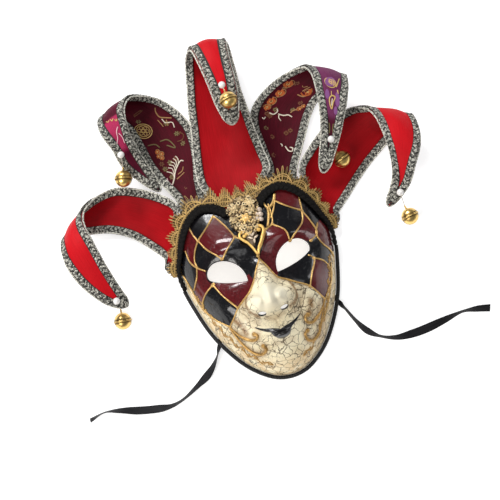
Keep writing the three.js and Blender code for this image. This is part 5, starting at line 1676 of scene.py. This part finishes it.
for angle, x, y in CAST_LEAVES:
    place = on_plate(x, y, PLATE * 0.5 + 1.4)
    stamp(cast_mesh, bead, place, plate_axes(angle), (3.2, 1.2, 0.9), (0.8, 0.8, 0, 1))
cast_gilt, at = finish("cast_gilt", Metallic=0.5, Specular_IOR_Level=0.5)
shade, stone, yellow = painted(at).split("Color")
flake = at.noise(620, 4)
depth = (shade * 0.8 + flake * 0.5 - 0.1).span(0.1, 0.95)
pale_gilt = depth.tint((0.05, 0.028, 0.012, 1), (0.86, 0.70, 0.42, 1))
warm_gilt = depth.tint((0.20, 0.09, 0.02, 1), (0.80, 0.50, 0.14, 1))
gilding = yellow.tint(pale_gilt, warm_gilt)
(stone * 0.75).tint(gilding, (0.44, 0.36, 0.33, 1)).feed("Base Color")
(0.5 - flake * 0.3).feed("Roughness")
(flake + at.noise(1300, 2) * 0.5).bump(0.5, 0.0006).feed("Normal")
ornament = piece("cast_ornament", cast_mesh, [cast_gilt], outward=True)
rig.replaces(ornament, "cartouche")
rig.slot(ornament, "gold_cast")

# Tie ribbons: two black satin ribbons sewn inside at the ears and let out under the cheek edge.
# They lie on the table, rolling on to their edge where they twist.
RIBBON_WIDTH, RIBBON_THICK, RIBBON_CLEAR, RIBBON_STEPS = 10, 0.8, 0.35, 160
RIBBON_LOOK, RIBBON_MAP, GATHERED, GATHER_ENDS = 0.004, (260, 20), 0.45, (0.24, 0.36)
RIBBONS = {
    "ribbon_left": [
        (-73, 4, 0), (-71, -12, 0), (-64, -28, 0), (-66, -44, 0), (-70, -53, 24), (-74.5, -62, 72),
        (-84, -74, 45), (-93, -81.3, 20), (-104, -88, 45), (-126, -99, 64), (-141, -102, 52),
        (-157, -100, 22), (-176, -96, 22), (-197, -90, 50), (-214, -87, 74), (-232, -91, 52)],
    "ribbon_right": [
        (73, 6, 0), (72, -8, 0), (67, -22, 0), (71, -38, 0), (74, -45, 20), (78, -54, 78), (85, -70, 72),
        (94, -85, 50), (107, -96, 80), (123, -102, 62), (141, -103, 30), (158, -102, 20), (180, -99, 45),
        (203, -96, 78), (220, -98, 52), (233, -101, 42)],
}


def gather(share):
    """How broad the ribbon lies, drawn together up to where it leaves the cheek edge."""
    return mix(GATHERED, 1, smooth(share, *GATHER_ENDS))


ribbon_satin = woven("black_ribbon", (0.006, 0.006, 0.007, 1), (0.020, 0.020, 0.022, 1), 0.42)
for name, rows in RIBBONS.items():
    half = RIBBON_THICK / 2
    knots = []
    for x, y, roll in rows:
        rise = RIBBON_CLEAR / 2 + half + (RIBBON_WIDTH / 2 - half) * abs(math.sin(math.radians(roll)))
        knots.append(Vector((x, y, rise)))
    rolls = [Vector((math.radians(row[2]), 0, 0)) for row in rows]
    line, ups = [], []
    for k in range(RIBBON_STEPS):
        share = k / (RIBBON_STEPS - 1)
        here = flow(knots, share)
        behind, ahead = flow(knots, max(share - RIBBON_LOOK, 0)), flow(knots, min(share + RIBBON_LOOK, 1))
        heading = (ahead - behind).normalized()
        across = Vector((heading.y, -heading.x, 0)).normalized()
        across.rotate(Matrix.Rotation(flow(rolls, share).x, 3, heading))
        line.append(spot(*here))
        ups.append(heading.cross(across).normalized())
    ribbon_mesh = new_mesh()
    tube(ribbon_mesh, line, ups, RIBBON_WIDTH / 2, half * 0.8, 12, map_scale=RIBBON_MAP, flare=gather)
    ribbon = piece(f"tie_{name}", ribbon_mesh, [ribbon_satin], outward=True)
    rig.replaces(ribbon, name)
    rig.slot(ribbon, "ribbon")
    run = length_of(line)
    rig.cord(ribbon, exit=line[0], length=round(run, 3), diameter=RIBBON_WIDTH * MM, far_end="bare",
            stiffness="limp", lay="loose", path=line)

with open("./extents.json", "w") as size_file:
    boxes = {"cad": [list(corner) for corner in cad_box], "visual": [list(corner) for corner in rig.bounds()]}
    json.dump(boxes, size_file)
